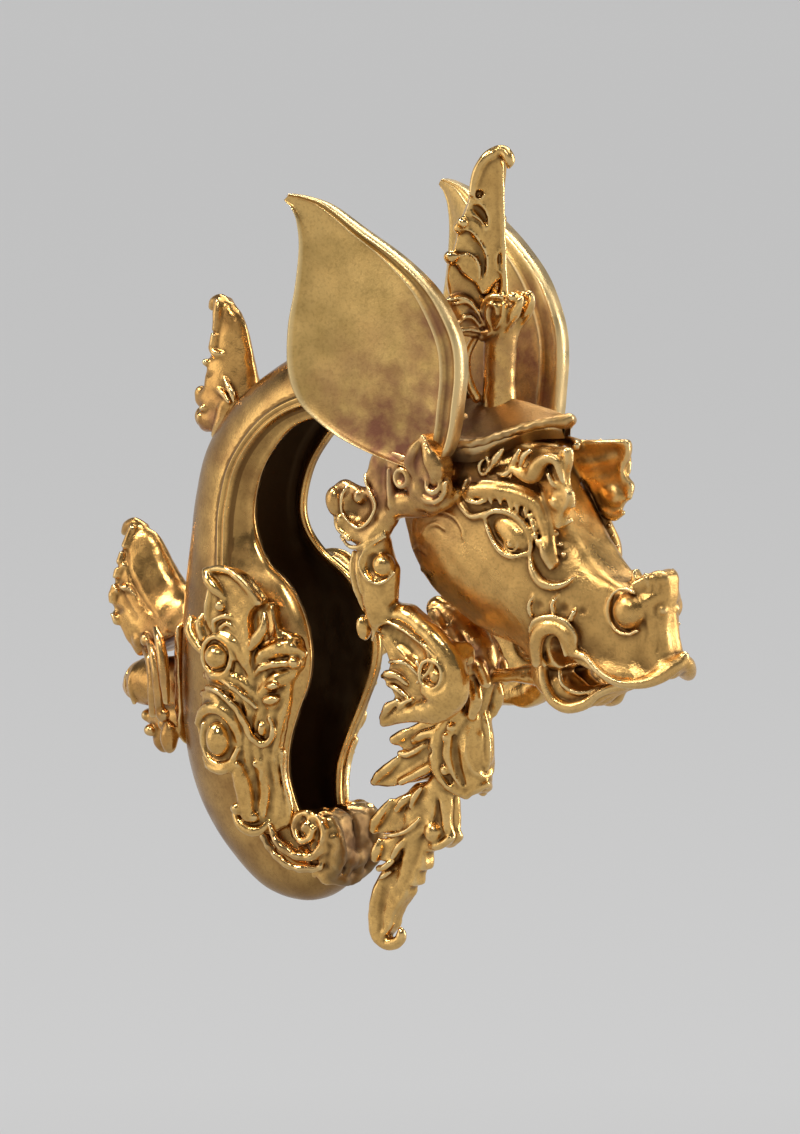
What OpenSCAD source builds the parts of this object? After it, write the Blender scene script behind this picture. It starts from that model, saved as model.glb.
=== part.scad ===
// Gold ear ornament: an open hoop that ends in the head of a long-eared animal.
// Millimetres, Z up, the head looks along +X, Y runs across the ornament.
// The origin is the inside top of the hoop, where the ear lobe sits.

/* [Hoop] */
// Wall of the hollow hoop
hoop_wall = 0.55; // [0.4:0.05:0.9]
// Radius of the raised moulding on each side of the hoop
moulding_r = 0.3; // [0.2:0.05:0.5]
// How far the masks stand off the hoop
mask_sheet = 0.75; // [0.5:0.05:1.2]

/* [Head] */
// Radius of the eyeball
eye_r = 0.62; // [0.4:0.02:0.9]
// Radius of the nostril knob
nostril_r = 0.95; // [0.6:0.05:1.2]

/* [Ears] */
// Thickness of the ear sheet
ear_thick = 0.5; // [0.35:0.05:0.9]
// How far the rim of the ear stands out
ear_rim = 0.42; // [0.2:0.02:0.7]

/* [Fit] */
// Gap kept between two castings
gap = 0.09; // [0.05:0.01:0.2]

/* [Hidden] */
gold = [0.83, 0.62, 0.28];
pale_gold = [0.87, 0.69, 0.36];
red_gold = [0.74, 0.50, 0.24];
function facets(r) = r < 0.56 ? 4 : (r < 0.9 ? 5 : 6);

// Hoop sections, from the head round to the open end.
// rim x, rim z, back x, back z, half opening, half width, place of the widest line
hoop_rows = [
    [ 6.2,  -2.0,   7.0,   2.3, 2.0, 2.5, 0.30],
    [ 4.4,  -0.9,   4.8,   3.5, 2.1, 2.6, 0.28],
    [ 2.4,  -0.2,   2.4,   4.1, 2.2, 2.65, 0.27],
    [ 0.0,   0.0,  -0.8,   4.1, 2.3, 2.7, 0.26],
    [-2.0,  -0.3,  -4.2,   3.1, 2.3, 2.8, 0.25],
    [-3.6,  -1.0,  -7.2,   1.4, 2.3, 2.9, 0.25],
    [-4.9,  -2.2,  -9.6,  -0.6, 2.3, 3.0, 0.25],
    [-6.0,  -3.8, -11.2,  -3.0, 2.25, 3.1, 0.25],
    [-6.55, -5.8, -12.0,  -5.8, 2.2, 3.15, 0.25],
    [-6.3,  -7.3, -12.3,  -8.0, 2.25, 3.3, 0.27],
    [-5.2,  -8.7, -12.5,  -9.8, 2.5, 3.6, 0.34],
    [-3.4,  -9.9, -12.6, -11.4, 2.7, 4.0, 0.42],
    [-2.1, -11.5, -12.7, -13.2, 2.9, 4.2, 0.45],
    [-1.5, -13.4, -12.8, -15.2, 3.0, 4.3, 0.46],
    [-1.7, -15.2, -12.8, -17.2, 3.0, 4.3, 0.45],
    [-2.5, -17.0, -12.6, -19.2, 3.0, 4.2, 0.43],
    [-3.3, -18.8, -12.2, -21.3, 2.8, 4.0, 0.40],
    [-3.8, -20.6, -11.3, -23.6, 2.4, 3.6, 0.36],
    [-3.7, -22.0,  -9.5, -25.9, 2.1, 3.2, 0.34],
    [-3.4, -23.0,  -6.8, -27.9, 1.9, 2.8, 0.34],
    [-2.9, -23.6,  -3.9, -28.3, 1.8, 2.5, 0.36],
    [-2.2, -23.9,  -2.0, -27.4, 1.6, 2.2, 0.38],
    [-1.5, -23.9,  -1.0, -25.8, 1.5, 1.9, 0.40]];
bend_steps = 4;

// Half profile across the hoop, from the rim (0) to the back (1):
// the first rows run up to the widest line, the rest round the back.
function half_profile(row, depth, grow) =
    let (v = row[4], w = row[5], f = row[6] * depth)
    concat(
        [[-grow * 0.5, v + grow], [f * 0.55, (v + w) / 2 + 0.1 + grow]],
        [for (k = [0 : bend_steps])
            let (a = 90 * k / bend_steps)
            [f + (depth + grow - f) * pow(sin(a), 1.15), (w + grow) * pow(max(cos(a), 0), 0.8)]]);
function full_profile(half) =
    let (n = len(half))
    concat(half, [for (k = [n - 2 : -1 : 0]) [half[k][0], -half[k][1]]]);
function unit(v) = v / norm(v);
function place(row, q) =
    let (rim = [row[0], row[1]], dir = unit([row[2], row[3]] - rim), p = rim + dir * q[0])
    [p[0], q[1], p[1]];
function row_depth(row) = norm([row[2] - row[0], row[3] - row[1]]);

// Closed body between equal rings of points. Each ring is one loop.
function middle(ring) = [for (p = ring) 1 / len(ring)] * ring;
function turning(ring, c) =
    [for (p = ring) 1] * [for (i = [0 : len(ring) - 1]) cross(ring[i] - c, ring[(i + 1) % len(ring)] - c)];
module loft(rings) {
    n = len(rings[0]);
    m = len(rings);
    ahead = middle(rings[1]) - middle(rings[0]);
    flip = turning(rings[0], middle(rings[0])) * ahead > 0;
    points = [for (r = rings) for (i = [0 : n - 1]) r[flip ? n - 1 - i : i]];
    sides = [for (j = [0 : m - 2]) for (i = [0 : n - 1])
        let (a = j * n + i, b = j * n + (i + 1) % n)
        for (t = [[a, b, b + n], [a, b + n, a + n]]) t];
    ends = [[for (i = [n - 1 : -1 : 0]) i], [for (i = [0 : n - 1]) (m - 1) * n + i]];
    polyhedron(points = points, faces = concat(sides, ends), convexity = 8);
}

// Solid outline of the hoop, larger all round by grow
module hoop_body(grow) {
    loft([for (row = hoop_rows)
        [for (q = full_profile(half_profile(row, row_depth(row), grow))) place(row, q)]]);
}

// Shell of the hoop: a channel that is open on the inside of the ring
function wall_profile(half, depth) =
    [for (q = half) [max(q[0] * (depth - hoop_wall) / depth, 0), max(q[1] - hoop_wall, 0)]];
module hoop_shell() {
    loft([for (row = hoop_rows)
        let (depth = row_depth(row),
             outside = full_profile(half_profile(row, depth, 0)),
             inside = full_profile(wall_profile(half_profile(row, depth, 0), depth)),
             n = len(inside))
        [for (q = concat(outside, [for (k = [n - 1 : -1 : 0]) inside[k]])) place(row, q)]]);
}

// Round-ended bar through rows of x, y, z, radius
module bar(rows) {
    sides = facets(max([for (r = rows) r[3]]));
    for (k = [0 : len(rows) - 2]) hull() {
        for (r = [rows[k], rows[k + 1]])
            translate([r[0], r[1], r[2]]) sphere(r = r[3], $fn = sides);
    }
}

module knob(x, y, z, r) {
    translate([x, y, z]) sphere(r = r, $fn = r < 0.6 ? 5 : 6);
}

// Leaf through rows of x, y, z, half width, half thickness; face is the way it looks
module leaf(rows, face) {
    n = len(rows);
    function at(k) = [rows[k][0], rows[k][1], rows[k][2]];
    loft([for (k = [0 : n - 1])
        let (along = at(min(k + 1, n - 1)) - at(max(k - 1, 0)),
             across = unit(cross(unit(along), face)),
             out = unit(cross(across, unit(along))),
             w = rows[k][3], t = rows[k][4])
        [at(k) + across * w, at(k) + out * t, at(k) - across * w, at(k) - out * t]]);
}

// Spiral bar in a plane across Y: centre, height y, first and last radius,
// start angle, turn angle, first and last bar radius
module scroll(cx, cz, y, r0, r1, start, turn, b0, b1) {
    steps = max(4, ceil(abs(turn) / 70));
    bar([for (k = [0 : steps])
        let (s = k / steps, a = start + turn * s, r = r0 + (r1 - r0) * s)
        [cx + r * cos(a), y, cz + r * sin(a), b0 + (b1 - b0) * s]]);
}

// Hoop: hollow channel, side mouldings, open end with its two volutes
moulding_rows = [1, 2, 3, 4, 5, 6, 7, 8, 9, 10];
volute = [-2.35, -24.1];
end_bar = [[-6.3, 2.95, -24.2, 0.3], [-5.4, 2.75, -25.2, 0.36],
           [-4.4, 2.3, -25.6, 0.4], [-3.4, 1.95, -25.2, 0.42]];
module side_bars(grow) {
    bar([for (k = moulding_rows)
        let (row = hoop_rows[k],
             p = place(row, [row[6] * row_depth(row), 0.05 - row[5]]))
        [p[0], p[1], p[2], moulding_r + grow]]);
    bar([for (r = end_bar) [r[0], -r[1], r[2], r[3] + grow]]);
}
module hoop() {
    color(gold) {
        hoop_shell();
        for (side = [0, 1]) mirror([0, side, 0]) {
            side_bars(0);
            scroll(volute[0], volute[1], -1.8, 1.2, 0.35, -165, 400, 0.45, 0.3);
            knob(volute[0], -1.8, volute[1], 0.5);
        }
        bar([[-1.15, -1.6, -25.2, 0.5], [-1.1, 0, -25.4, 0.6], [-1.15, 1.6, -25.2, 0.5]]);
        bar([[-1.35, -1.5, -24.3, 0.6], [-1.25, 0, -24.4, 0.6], [-1.35, 1.5, -24.3, 0.6]]);
    }
}

// Head sections from the nape to the lip.
// top x, top z, bottom x, bottom z, half width at top, at cheek, at bottom
head_rows = [
    [ 5.9,   0.3,  6.3,  -7.4, 1.5, 2.9, 1.9],
    [ 8.2,   0.8,  7.6,  -9.5, 1.8, 3.4, 2.1],
    [11.0,   0.4, 10.2, -11.0, 1.9, 3.6, 2.1],
    [13.3,  -1.0, 12.4, -12.5, 1.6, 3.6, 2.0],
    [15.2,  -3.2, 14.2, -13.0, 1.4, 3.3, 2.0],
    [16.8,  -5.3, 15.6, -12.4, 1.4, 2.9, 2.2],
    [18.4,  -7.1, 17.3, -12.5, 1.5, 2.5, 2.6],
    [20.0,  -7.9, 19.0, -13.2, 1.6, 2.3, 2.8],
    [21.6,  -8.4, 20.8, -13.4, 1.4, 1.8, 2.5],
    [22.6,  -9.8, 22.6, -12.7, 0.9, 1.0, 1.6],
    [23.2, -11.0, 23.5, -11.9, 0.4, 0.4, 0.5]];
function head_ring(row, grow) =
    let (t = [row[0], row[1]], b = [row[2], row[3]], dir = unit(b - t), d = norm(b - t),
         half = [[-grow, row[4] + grow], [0.10 * d, row[4] + 0.45 * (row[5] - row[4]) + grow],
                 [0.30 * d, row[5] * 0.97 + grow], [0.50 * d, row[5] + grow],
                 [0.75 * d, (row[5] + row[6]) / 2 + grow], [0.93 * d, row[6] + grow],
                 [d + grow, row[6] * 0.7 + grow]])
    concat(
        [for (q = half) let (p = t + dir * q[0]) [p[0], q[1], p[1]]],
        [for (k = [len(half) - 1 : -1 : 0])
            let (q = half[k], p = t + dir * q[0]) [p[0], -q[1], p[1]]]);
module head_core(grow) {
    loft([for (row = head_rows) head_ring(row, grow)]);
}

// Carving on the right side of the head, drawn again on the left
brow_bar = [[11.0, -3.1, -3.2, 0.45], [12.4, -3.6, -3.5, 0.48], [14.3, -3.6, -3.5, 0.5],
            [15.5, -3.3, -4.4, 0.5], [16.9, -2.9, -6.8, 0.45], [17.8, -2.6, -7.2, 0.35]];
eye_rim = [[11.9, -3.5, -4.8, 0.16], [12.8, -3.75, -4.1, 0.22], [14.0, -3.75, -4.0, 0.24],
           [15.1, -3.6, -4.7, 0.22], [15.5, -3.4, -5.7, 0.18], [14.6, -3.6, -6.3, 0.2],
           [13.2, -3.7, -5.9, 0.2], [11.9, -3.5, -4.8, 0.16]];
swoosh = [[15.3, -3.2, -6.3, 0.3], [15.9, -3.05, -7.6, 0.4], [17.0, -2.8, -8.1, 0.4], [18.0, -2.6, -7.6, 0.3]];
mouth_curl = [[18.2, -2.75, -12.0, 0.3], [17.9, -2.85, -10.6, 0.34], [16.9, -2.9, -9.8, 0.36],
              [15.9, -2.85, -10.3, 0.34], [15.7, -2.7, -11.4, 0.32], [16.4, -2.6, -12.4, 0.34],
              [16.6, -2.4, -13.8, 0.36]];
lip = [[18.2, -2.75, -12.0, 0.26], [19.4, -2.85, -13.1, 0.26], [20.6, -2.6, -13.4, 0.26],
       [21.9, -2.0, -13.2, 0.26], [23.0, -1.0, -12.4, 0.26], [23.6, 0, -11.6, 0.3]];
jaw = [[13.8, -1.3, -12.4, 0.9], [15.6, -1.3, -14.2, 0.75], [16.9, -1.2, -14.6, 0.7],
       [18.2, -0.9, -14.1, 0.6], [19.4, -0.4, -13.9, 0.45]];
brow_flame = [[13.8, -2.7, -3.0, 1.0, 0.6], [15.2, -3.2, -1.6, 1.0, 0.5], [16.2, -3.4, -0.9, 0.7, 0.4],
              [16.9, -3.4, -0.6, 0.15, 0.2]];
brow_bud = [[15.2, -2.6, -4.4, 0.8, 0.6], [16.6, -2.9, -3.4, 0.6, 0.45], [17.4, -2.8, -2.8, 0.15, 0.2]];
brow_leaflet = [[12.4, -2.9, -2.9, 0.5, 0.5], [12.9, -3.4, -1.4, 0.45, 0.35], [13.5, -3.4, -0.7, 0.1, 0.15]];
nose_leaf = [[20.6, -1.5, -7.9, 0.9, 0.5], [21.9, -1.3, -7.2, 0.9, 0.5], [22.9, -0.9, -7.2, 0.8, 0.4],
             [23.2, -0.7, -8.4, 0.5, 0.35], [23.1, -0.6, -9.8, 0.15, 0.2]];

module face_side() {
    bar(brow_bar);
    bar(eye_rim);
    bar(swoosh);
    bar(mouth_curl);
    bar(lip);
    bar(jaw);
    knob(13.9, -3.45, -5.3, eye_r);
    knob(21.1, -1.95, -9.1, nostril_r);
    knob(16.8, -2.6, -11.2, 0.7);
    for (flame = [[15.2, -8.9, 0.1], [16.7, -8.5, 0], [18.5, -9.0, -0.35]])
        bar([[flame[0] + 0.5, -2.75 - flame[2], flame[1] - 1.1, 0.3], [flame[0], -2.9 - flame[2], flame[1], 0.14]]);
    leaf(brow_flame, [0.2, -1, 0.1]);
    leaf(brow_bud, [0.2, -1, 0.1]);
    leaf(brow_leaflet, [0, -1, 0.2]);
    leaf(nose_leaf, [0.4, -1, 0.3]);
}
module head() {
    color(gold) difference() {
        union() {
            head_core(0);
            for (side = [0, 1]) mirror([0, side, 0]) face_side();
            bar([[15.6, 0, -13.9, 0.9], [18.2, 0, -14.1, 0.6], [19.6, 0, -13.7, 0.45]]);
        }
        // mouth
        hull() {
            translate([17.2, 0, -12.9]) scale([1, 3.6, 0.9]) sphere(r = 0.45, $fn = 6);
            translate([21.2, 0, -13.6]) scale([1, 3.6, 0.9]) sphere(r = 0.5, $fn = 6);
        }
        hoop_body(gap);
    }
}

// Ear: rows of rear x, rear z, front x, front z up the leaf
ear_rows = [
    [ 8.2, -0.9,  9.2, -0.6],
    [ 5.8, -0.6, 10.4,  0.2],
    [ 3.4,  0.2, 11.2,  1.6],
    [ 1.4,  1.6, 11.6,  3.4],
    [ 0.5,  3.6, 11.4,  5.4],
    [ 0.4,  5.6, 10.6,  7.2],
    [ 0.8,  7.6,  9.0,  8.9],
    [ 1.0,  9.4,  6.8, 10.4],
    [ 0.8, 11.0,  4.6, 11.6],
    [ 0.2, 12.1,  2.2, 12.5],
    [-0.5, 12.6,  0.4, 12.8]];
// Height of the sheet above the ear's own plane, from the rear edge to the front edge
ear_lift = [[0, 0.0], [0.3, -0.45], [0.6, -0.5], [0.8, -0.3], [0.87, 0.0], [0.93, 1.0], [1.0, 0.9]];
ear_yaw = 12;
function ear_y(x) = -6.5 + (x + 0.3) * tan(ear_yaw);
function ear_ring(row, grow) =
    let (long = norm([row[2] - row[0], row[3] - row[1]]), s = min(1, long / 6),
         x = function (u) row[0] + (row[2] - row[0]) * u,
         z = function (u) row[1] + (row[3] - row[1]) * u)
    concat(
        [for (q = ear_lift)
            [x(q[0]), ear_y(x(q[0])) - ear_rim * q[1] * s * (q[1] < 0 ? -1 : 1) - ear_thick / 2 - grow, z(q[0])]],
        [for (k = [len(ear_lift) - 1 : -1 : 0]) let (q = ear_lift[k])
            [x(q[0]), ear_y(x(q[0])) - ear_rim * q[1] * s * (q[1] < 0 ? -1 : 1) + ear_thick / 2 + grow, z(q[0])]]);
module ear(grow) {
    loft([for (row = ear_rows) ear_ring(row, grow)]);
}
module right_ear() {
    color(pale_gold) ear(0);
}
module left_ear() {
    color(pale_gold) mirror([0, 1, 0]) ear(0);
}

// Crest between the ears: a folded flame leaf on a post, with scrolls at its foot
crest_spine = [[10.4, 0, 6.2, 1.2], [10.8, 0, 8.0, 2.2], [10.7, 0, 9.8, 2.6], [10.4, 0, 11.6, 1.8],
               [10.2, 0, 13.2, 1.2], [10.0, 0, 14.4, 0.7], [10.1, 0, 15.2, 0.4]];
module crest() {
    color(red_gold) difference() {
        union() {
            loft([for (r = crest_spine)
                let (w = r[3], b = w * 0.75)
                [[r[0] + 0.25, 0, r[2]], [r[0] - b, w, r[2]], [r[0] - b - 0.4, w, r[2]],
                 [r[0] - 0.5, 0, r[2]], [r[0] - b - 0.4, -w, r[2]], [r[0] - b, -w, r[2]]]]);
            bar([[10.0, 0, 14.2, 0.3], [10.2, 0, 15.4, 0.32], [10.9, 0, 15.6, 0.32], [11.2, 0, 14.8, 0.26]]);
            bar([[9.8, 0, 2.2, 0.85], [9.8, 0, 3.0, 0.8], [9.9, 0, 5.0, 0.85], [10.2, 0, 7.0, 1.0]]);
            for (side = [-1, 1]) {
                bar([[9.9, side * 0.6, 5.2, 0.5], [9.0, side * 1.6, 5.6, 0.55], [8.2, side * 2.0, 6.6, 0.55],
                     [8.6, side * 1.7, 7.6, 0.45]]);
                bar([[10.2, side * 0.5, 5.6, 0.45], [11.0, side * 1.3, 6.0, 0.5], [11.5, side * 1.7, 7.0, 0.45],
                     [11.9, side * 1.5, 7.6, 0.25]]);
                bar([[8.9, side * 0.8, 2.0, 0.4], [8.5, side * 1.0, 2.9, 0.42], [8.6, side * 0.9, 4.2, 0.4],
                     [9.2, side * 0.7, 5.4, 0.4]]);
                bar([[9.0, side * 1.6, 9.0, 0.4], [8.1, side * 2.3, 9.4, 0.4]]);
                bar([[9.4, side * 0.9, 11.6, 0.35], [8.7, side * 1.4, 12.0, 0.35]]);
            }
        }
        head_core(gap);
        brow_solid(gap);
        hoop_body(gap);
    }
}

// Brow plate: folded leaf over the forehead. ridge x, ridge z, eave x, eave z, eave y
brow_rows = [
    [ 7.4, 1.3,  7.6, -0.5, 3.3],
    [ 9.4, 1.6,  9.8, -0.6, 3.6],
    [11.4, 1.6, 11.4, -0.5, 3.5],
    [12.9, 1.4, 12.7,  0.1, 2.7],
    [14.1, 1.2, 13.9,  0.7, 1.5],
    [15.2, 0.9, 15.1,  0.8, 0.25]];
plate_thick = 0.55;
module brow_solid(grow) {
    loft([for (r = brow_rows)
        let (t = plate_thick + grow, g = grow)
        [[r[0], 0, r[1] + g], [r[2], r[4] + g, r[3] + g], [r[2], r[4] + g, r[3] - t * 0.6],
         [r[0], 0, r[1] - t], [r[2], -r[4] - g, r[3] - t * 0.6], [r[2], -r[4] - g, r[3] + g]]]);
}
module brow_plate() {
    color(red_gold) difference() {
        union() {
            brow_solid(0);
            hull() {
                knob(14.9, 0, 0.7, 0.4);
                knob(14.4, 0, 0.2, 0.5);
            }
            for (side = [-1, 1]) bar([[7.8, side * 3.3, -0.6, 0.25], [9.8, side * 3.6, -0.7, 0.25],
                [11.4, side * 3.5, -0.6, 0.28], [12.7, side * 2.7, 0, 0.28], [13.9, side * 1.5, 0.5, 0.28],
                [15.0, side * 0.3, 0.7, 0.3]]);
        }
        head_core(gap);
        hoop_body(gap);
    }
}

// Strand from the ear root down to the jaw, right side
root_leaf = [[9.0, -4.8, -3.0, 0.7, 0.6], [9.0, -5.15, -1.9, 1.2, 0.45], [8.9, -5.4, -0.9, 0.8, 0.4],
             [8.7, -5.5, -0.1, 0.15, 0.2]];
cup = [[8.6, -4.4, -2.9, 0.8], [7.2, -4.6, -2.9, 0.7], [5.9, -4.7, -2.4, 0.55], [5.2, -4.7, -1.6, 0.4],
       [4.6, -4.7, -2.6, 0.35]];
cup_low = [[6.6, -4.5, -3.4, 0.7], [5.6, -4.6, -4.8, 0.75], [4.3, -4.7, -5.4, 0.6], [2.9, -4.7, -5.2, 0.5],
           [2.2, -4.7, -4.4, 0.6], [2.6, -4.7, -3.5, 0.45], [3.4, -4.7, -3.5, 0.35]];
bud = [[4.4, -4.6, -5.6, 0.6], [4.5, -4.6, -6.8, 1.0], [4.7, -4.6, -8.2, 1.15], [4.9, -4.5, -9.6, 1.1],
       [5.0, -4.3, -10.8, 0.8]];
hook = [[3.4, -4.2, -11.4, 0.5], [4.6, -4.2, -10.9, 0.8], [6.4, -4.1, -11.0, 1.1], [8.2, -3.9, -12.0, 1.1],
        [9.6, -3.6, -13.2, 1.2], [9.4, -3.4, -14.8, 1.0], [7.6, -3.4, -15.7, 0.7], [6.0, -3.5, -16.3, 0.4],
        [4.9, -3.6, -16.9, 0.2]];
hook_tip = [[7.9, -3.8, -12.6, 0.9, 0.6], [6.2, -3.8, -13.5, 0.8, 0.5], [5.3, -3.9, -14.2, 0.5, 0.4],
            [4.5, -4.0, -14.2, 0.15, 0.2]];
module strand() {
    difference() {
        union() {
            leaf(root_leaf, [0, -1, 0]);
            bar(cup);
            bar(cup_low);
            bar(bud);
            bar(hook);
            leaf(hook_tip, [0, -1, 0]);
            scroll(8.9, -13.5, -4.1, 0.9, 0.3, 60, 330, 0.4, 0.3);
            scroll(7.1, -2.8, -5.0, 0.6, 0.2, 0, 330, 0.3, 0.25);
            scroll(9.2, -2.9, -5.0, 0.8, 0.25, 30, 330, 0.35, 0.25);
            knob(2.2, -4.9, -4.5, 0.7);
            knob(5.5, -5.1, -7.8, 0.7);
            knob(3.1, -4.4, -11.6, 0.5);
            bar([[8.6, -3.4, -2.2, 0.8], [8.4, -4.3, -2.6, 0.9]]);
        }
        head_core(gap);
        ear(gap);
    }
}
module right_strand() {
    color(gold) strand();
}
module left_strand() {
    color(gold) mirror([0, 1, 0]) strand();
}

// Foliage under the jaw and the leaves that hang from it
pendant_spine = [[5.6, 0, -10.6, 0.7], [7.2, 0, -11.6, 1.2], [9.0, 0, -12.8, 1.4], [9.4, 0, -14.6, 1.4],
                 [8.8, 0, -16.4, 1.4], [8.0, 0, -18.4, 1.5], [6.4, 0, -20.2, 1.2], [5.2, 0, -21.8, 1.0]];
strut = [[9.4, 0, -14.0, 0.7], [11.2, 0, -14.2, 0.6], [12.8, 0, -14.1, 0.7]];
left_lobe = [[6.2, -0.6, -18.0, 1.1, 0.7], [4.6, -0.9, -18.4, 1.1, 0.6], [3.0, -1.0, -19.4, 0.9, 0.5],
             [1.5, -1.0, -20.6, 0.15, 0.2]];
high_lobe = [[6.6, -0.6, -16.9, 0.8, 0.6], [4.8, -0.9, -17.2, 0.7, 0.5], [2.9, -1.0, -18.0, 0.15, 0.2]];
last_leaf = [[6.6, 0, -20.4, 0.9, 0.7], [4.8, 0, -22.2, 1.9, 0.9], [3.9, 0, -24.2, 1.9, 0.9],
             [2.9, 0, -26.2, 1.4, 0.7], [1.7, 0, -28.2, 1.0, 0.6], [1.2, 0, -29.6, 0.6, 0.5],
             [1.6, 0, -30.4, 0.4, 0.4]];
module pendant() {
    color(gold) difference() {
        union() {
            bar(pendant_spine);
            bar(strut);
            leaf(last_leaf, [0.3, -1, 0]);
            bar([[1.1, 0, -28.9, 0.5], [1.2, 0, -30.0, 0.42], [2.0, 0, -30.3, 0.4], [2.4, 0, -29.7, 0.3]]);
            for (side = [0, 1]) mirror([0, side, 0]) {
                leaf(left_lobe, [0, -1, 0.2]);
                leaf(high_lobe, [0, -1, 0.2]);
                scroll(8.6, -18.0, -1.0, 1.7, 0.4, 100, -430, 0.55, 0.35);
                knob(8.6, -1.2, -18.0, 0.55);
                bar([[4.6, -0.7, -21.8, 0.5], [5.8, -0.9, -22.4, 0.55], [6.8, -0.8, -22.9, 0.4], [7.3, -0.7, -23.2, 0.2]]);
                bar([[3.4, -0.3, -22.6, 0.5], [2.0, -0.5, -23.2, 0.4], [0.9, -0.5, -24.0, 0.2]]);
                bar([[3.0, -0.2, -24.8, 0.45], [1.9, -0.4, -25.2, 0.4], [1.0, -0.4, -25.8, 0.2]]);
                bar([[2.3, -0.1, -26.6, 0.45], [1.3, -0.3, -27.6, 0.35], [0.6, -0.3, -28.4, 0.2]]);
                bar([[7.4, -1.2, -12.2, 0.7], [8.6, -1.5, -12.9, 0.7], [10.2, -1.2, -13.4, 0.5]]);
                knob(5.0, -0.6, -23.4, 0.6);
            }
        }
        head_core(gap);
    }
}

// Masks: sheets that follow the hoop, with raised relief.
// Outline of the side mask seen from the side, x and z
side_outline = [[-7.8, -9.3], [-6.6, -9.1], [-5.2, -10.3], [-3.2, -10.6], [-2.9, -12.6], [-1.9, -13.4],
                [-2.4, -15.4], [-3.3, -16.6], [-3.6, -18.6], [-4.1, -20.6], [-4.0, -22.2], [-5.4, -22.9],
                [-6.6, -21.2], [-8.4, -19.6], [-8.6, -17.6], [-7.9, -16.0], [-8.8, -14.4], [-8.5, -12.4],
                [-9.3, -11.7], [-7.9, -11.0]];
side_flame = [[-6.0, -4.1, -12.2, 1.5, 0.7], [-6.0, -4.5, -11.0, 1.3, 0.7], [-6.6, -4.9, -10.0, 0.8, 0.5],
              [-7.3, -5.2, -9.2, 0.25, 0.25]];
side_leaf = [[-5.0, -4.5, -12.8, 0.9, 0.5], [-3.8, -4.7, -11.8, 0.8, 0.5], [-2.8, -4.6, -10.9, 0.15, 0.2]];
side_curl = [[-5.6, -4.5, -13.8, 0.45], [-4.4, -4.6, -13.2, 0.45], [-3.2, -4.4, -13.3, 0.45],
             [-2.2, -4.2, -13.9, 0.35]];
side_ridges = [
    [[-6.4, -4.5, -15.5, 0.4], [-5.2, -4.6, -15.6, 0.42], [-4.2, -4.4, -16.3, 0.36], [-3.5, -4.2, -17.2, 0.3]],
    [[-7.4, -4.4, -16.2, 0.4], [-6.2, -4.6, -16.5, 0.42], [-5.3, -4.5, -17.4, 0.36], [-5.0, -4.3, -18.6, 0.36]],
    [[-5.2, -4.4, -18.8, 0.5], [-4.8, -4.4, -20.2, 0.5], [-4.5, -4.1, -21.6, 0.5], [-5.0, -3.75, -22.75, 0.52]]];
module side_relief() {
    intersection() {
        hoop_body(mask_sheet);
        rotate([90, 0, 0]) linear_extrude(height = 9, convexity = 4) polygon(side_outline);
    }
    leaf(side_flame, [0, -1, 0]);
    leaf(side_leaf, [0, -1, 0]);
    bar(side_curl);
    for (ridge = side_ridges) bar(ridge);
    knob(-7.2, -4.2, -14.3, 1.0);
    knob(-6.4, -5.0, -11.3, 0.5);
    knob(-2.9, -4.2, -15.3, 0.5);
    scroll(-6.9, -18.9, -4.4, 0.95, 0.95, 0, 360, 0.28, 0.28);
    knob(-6.9, -4.3, -18.9, 0.6);
    scroll(-3.9, -18.4, -4.1, 0.5, 0.2, 90, -300, 0.25, 0.2);
}
module side_mask(side) {
    difference() {
        mirror([0, side, 0]) side_relief();
        hoop_body(gap);
        mirror([0, side, 0]) side_bars(gap * 2);
    }
}
module right_mask() {
    color(gold) side_mask(0);
}
module left_mask() {
    color(gold) side_mask(1);
}

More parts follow.
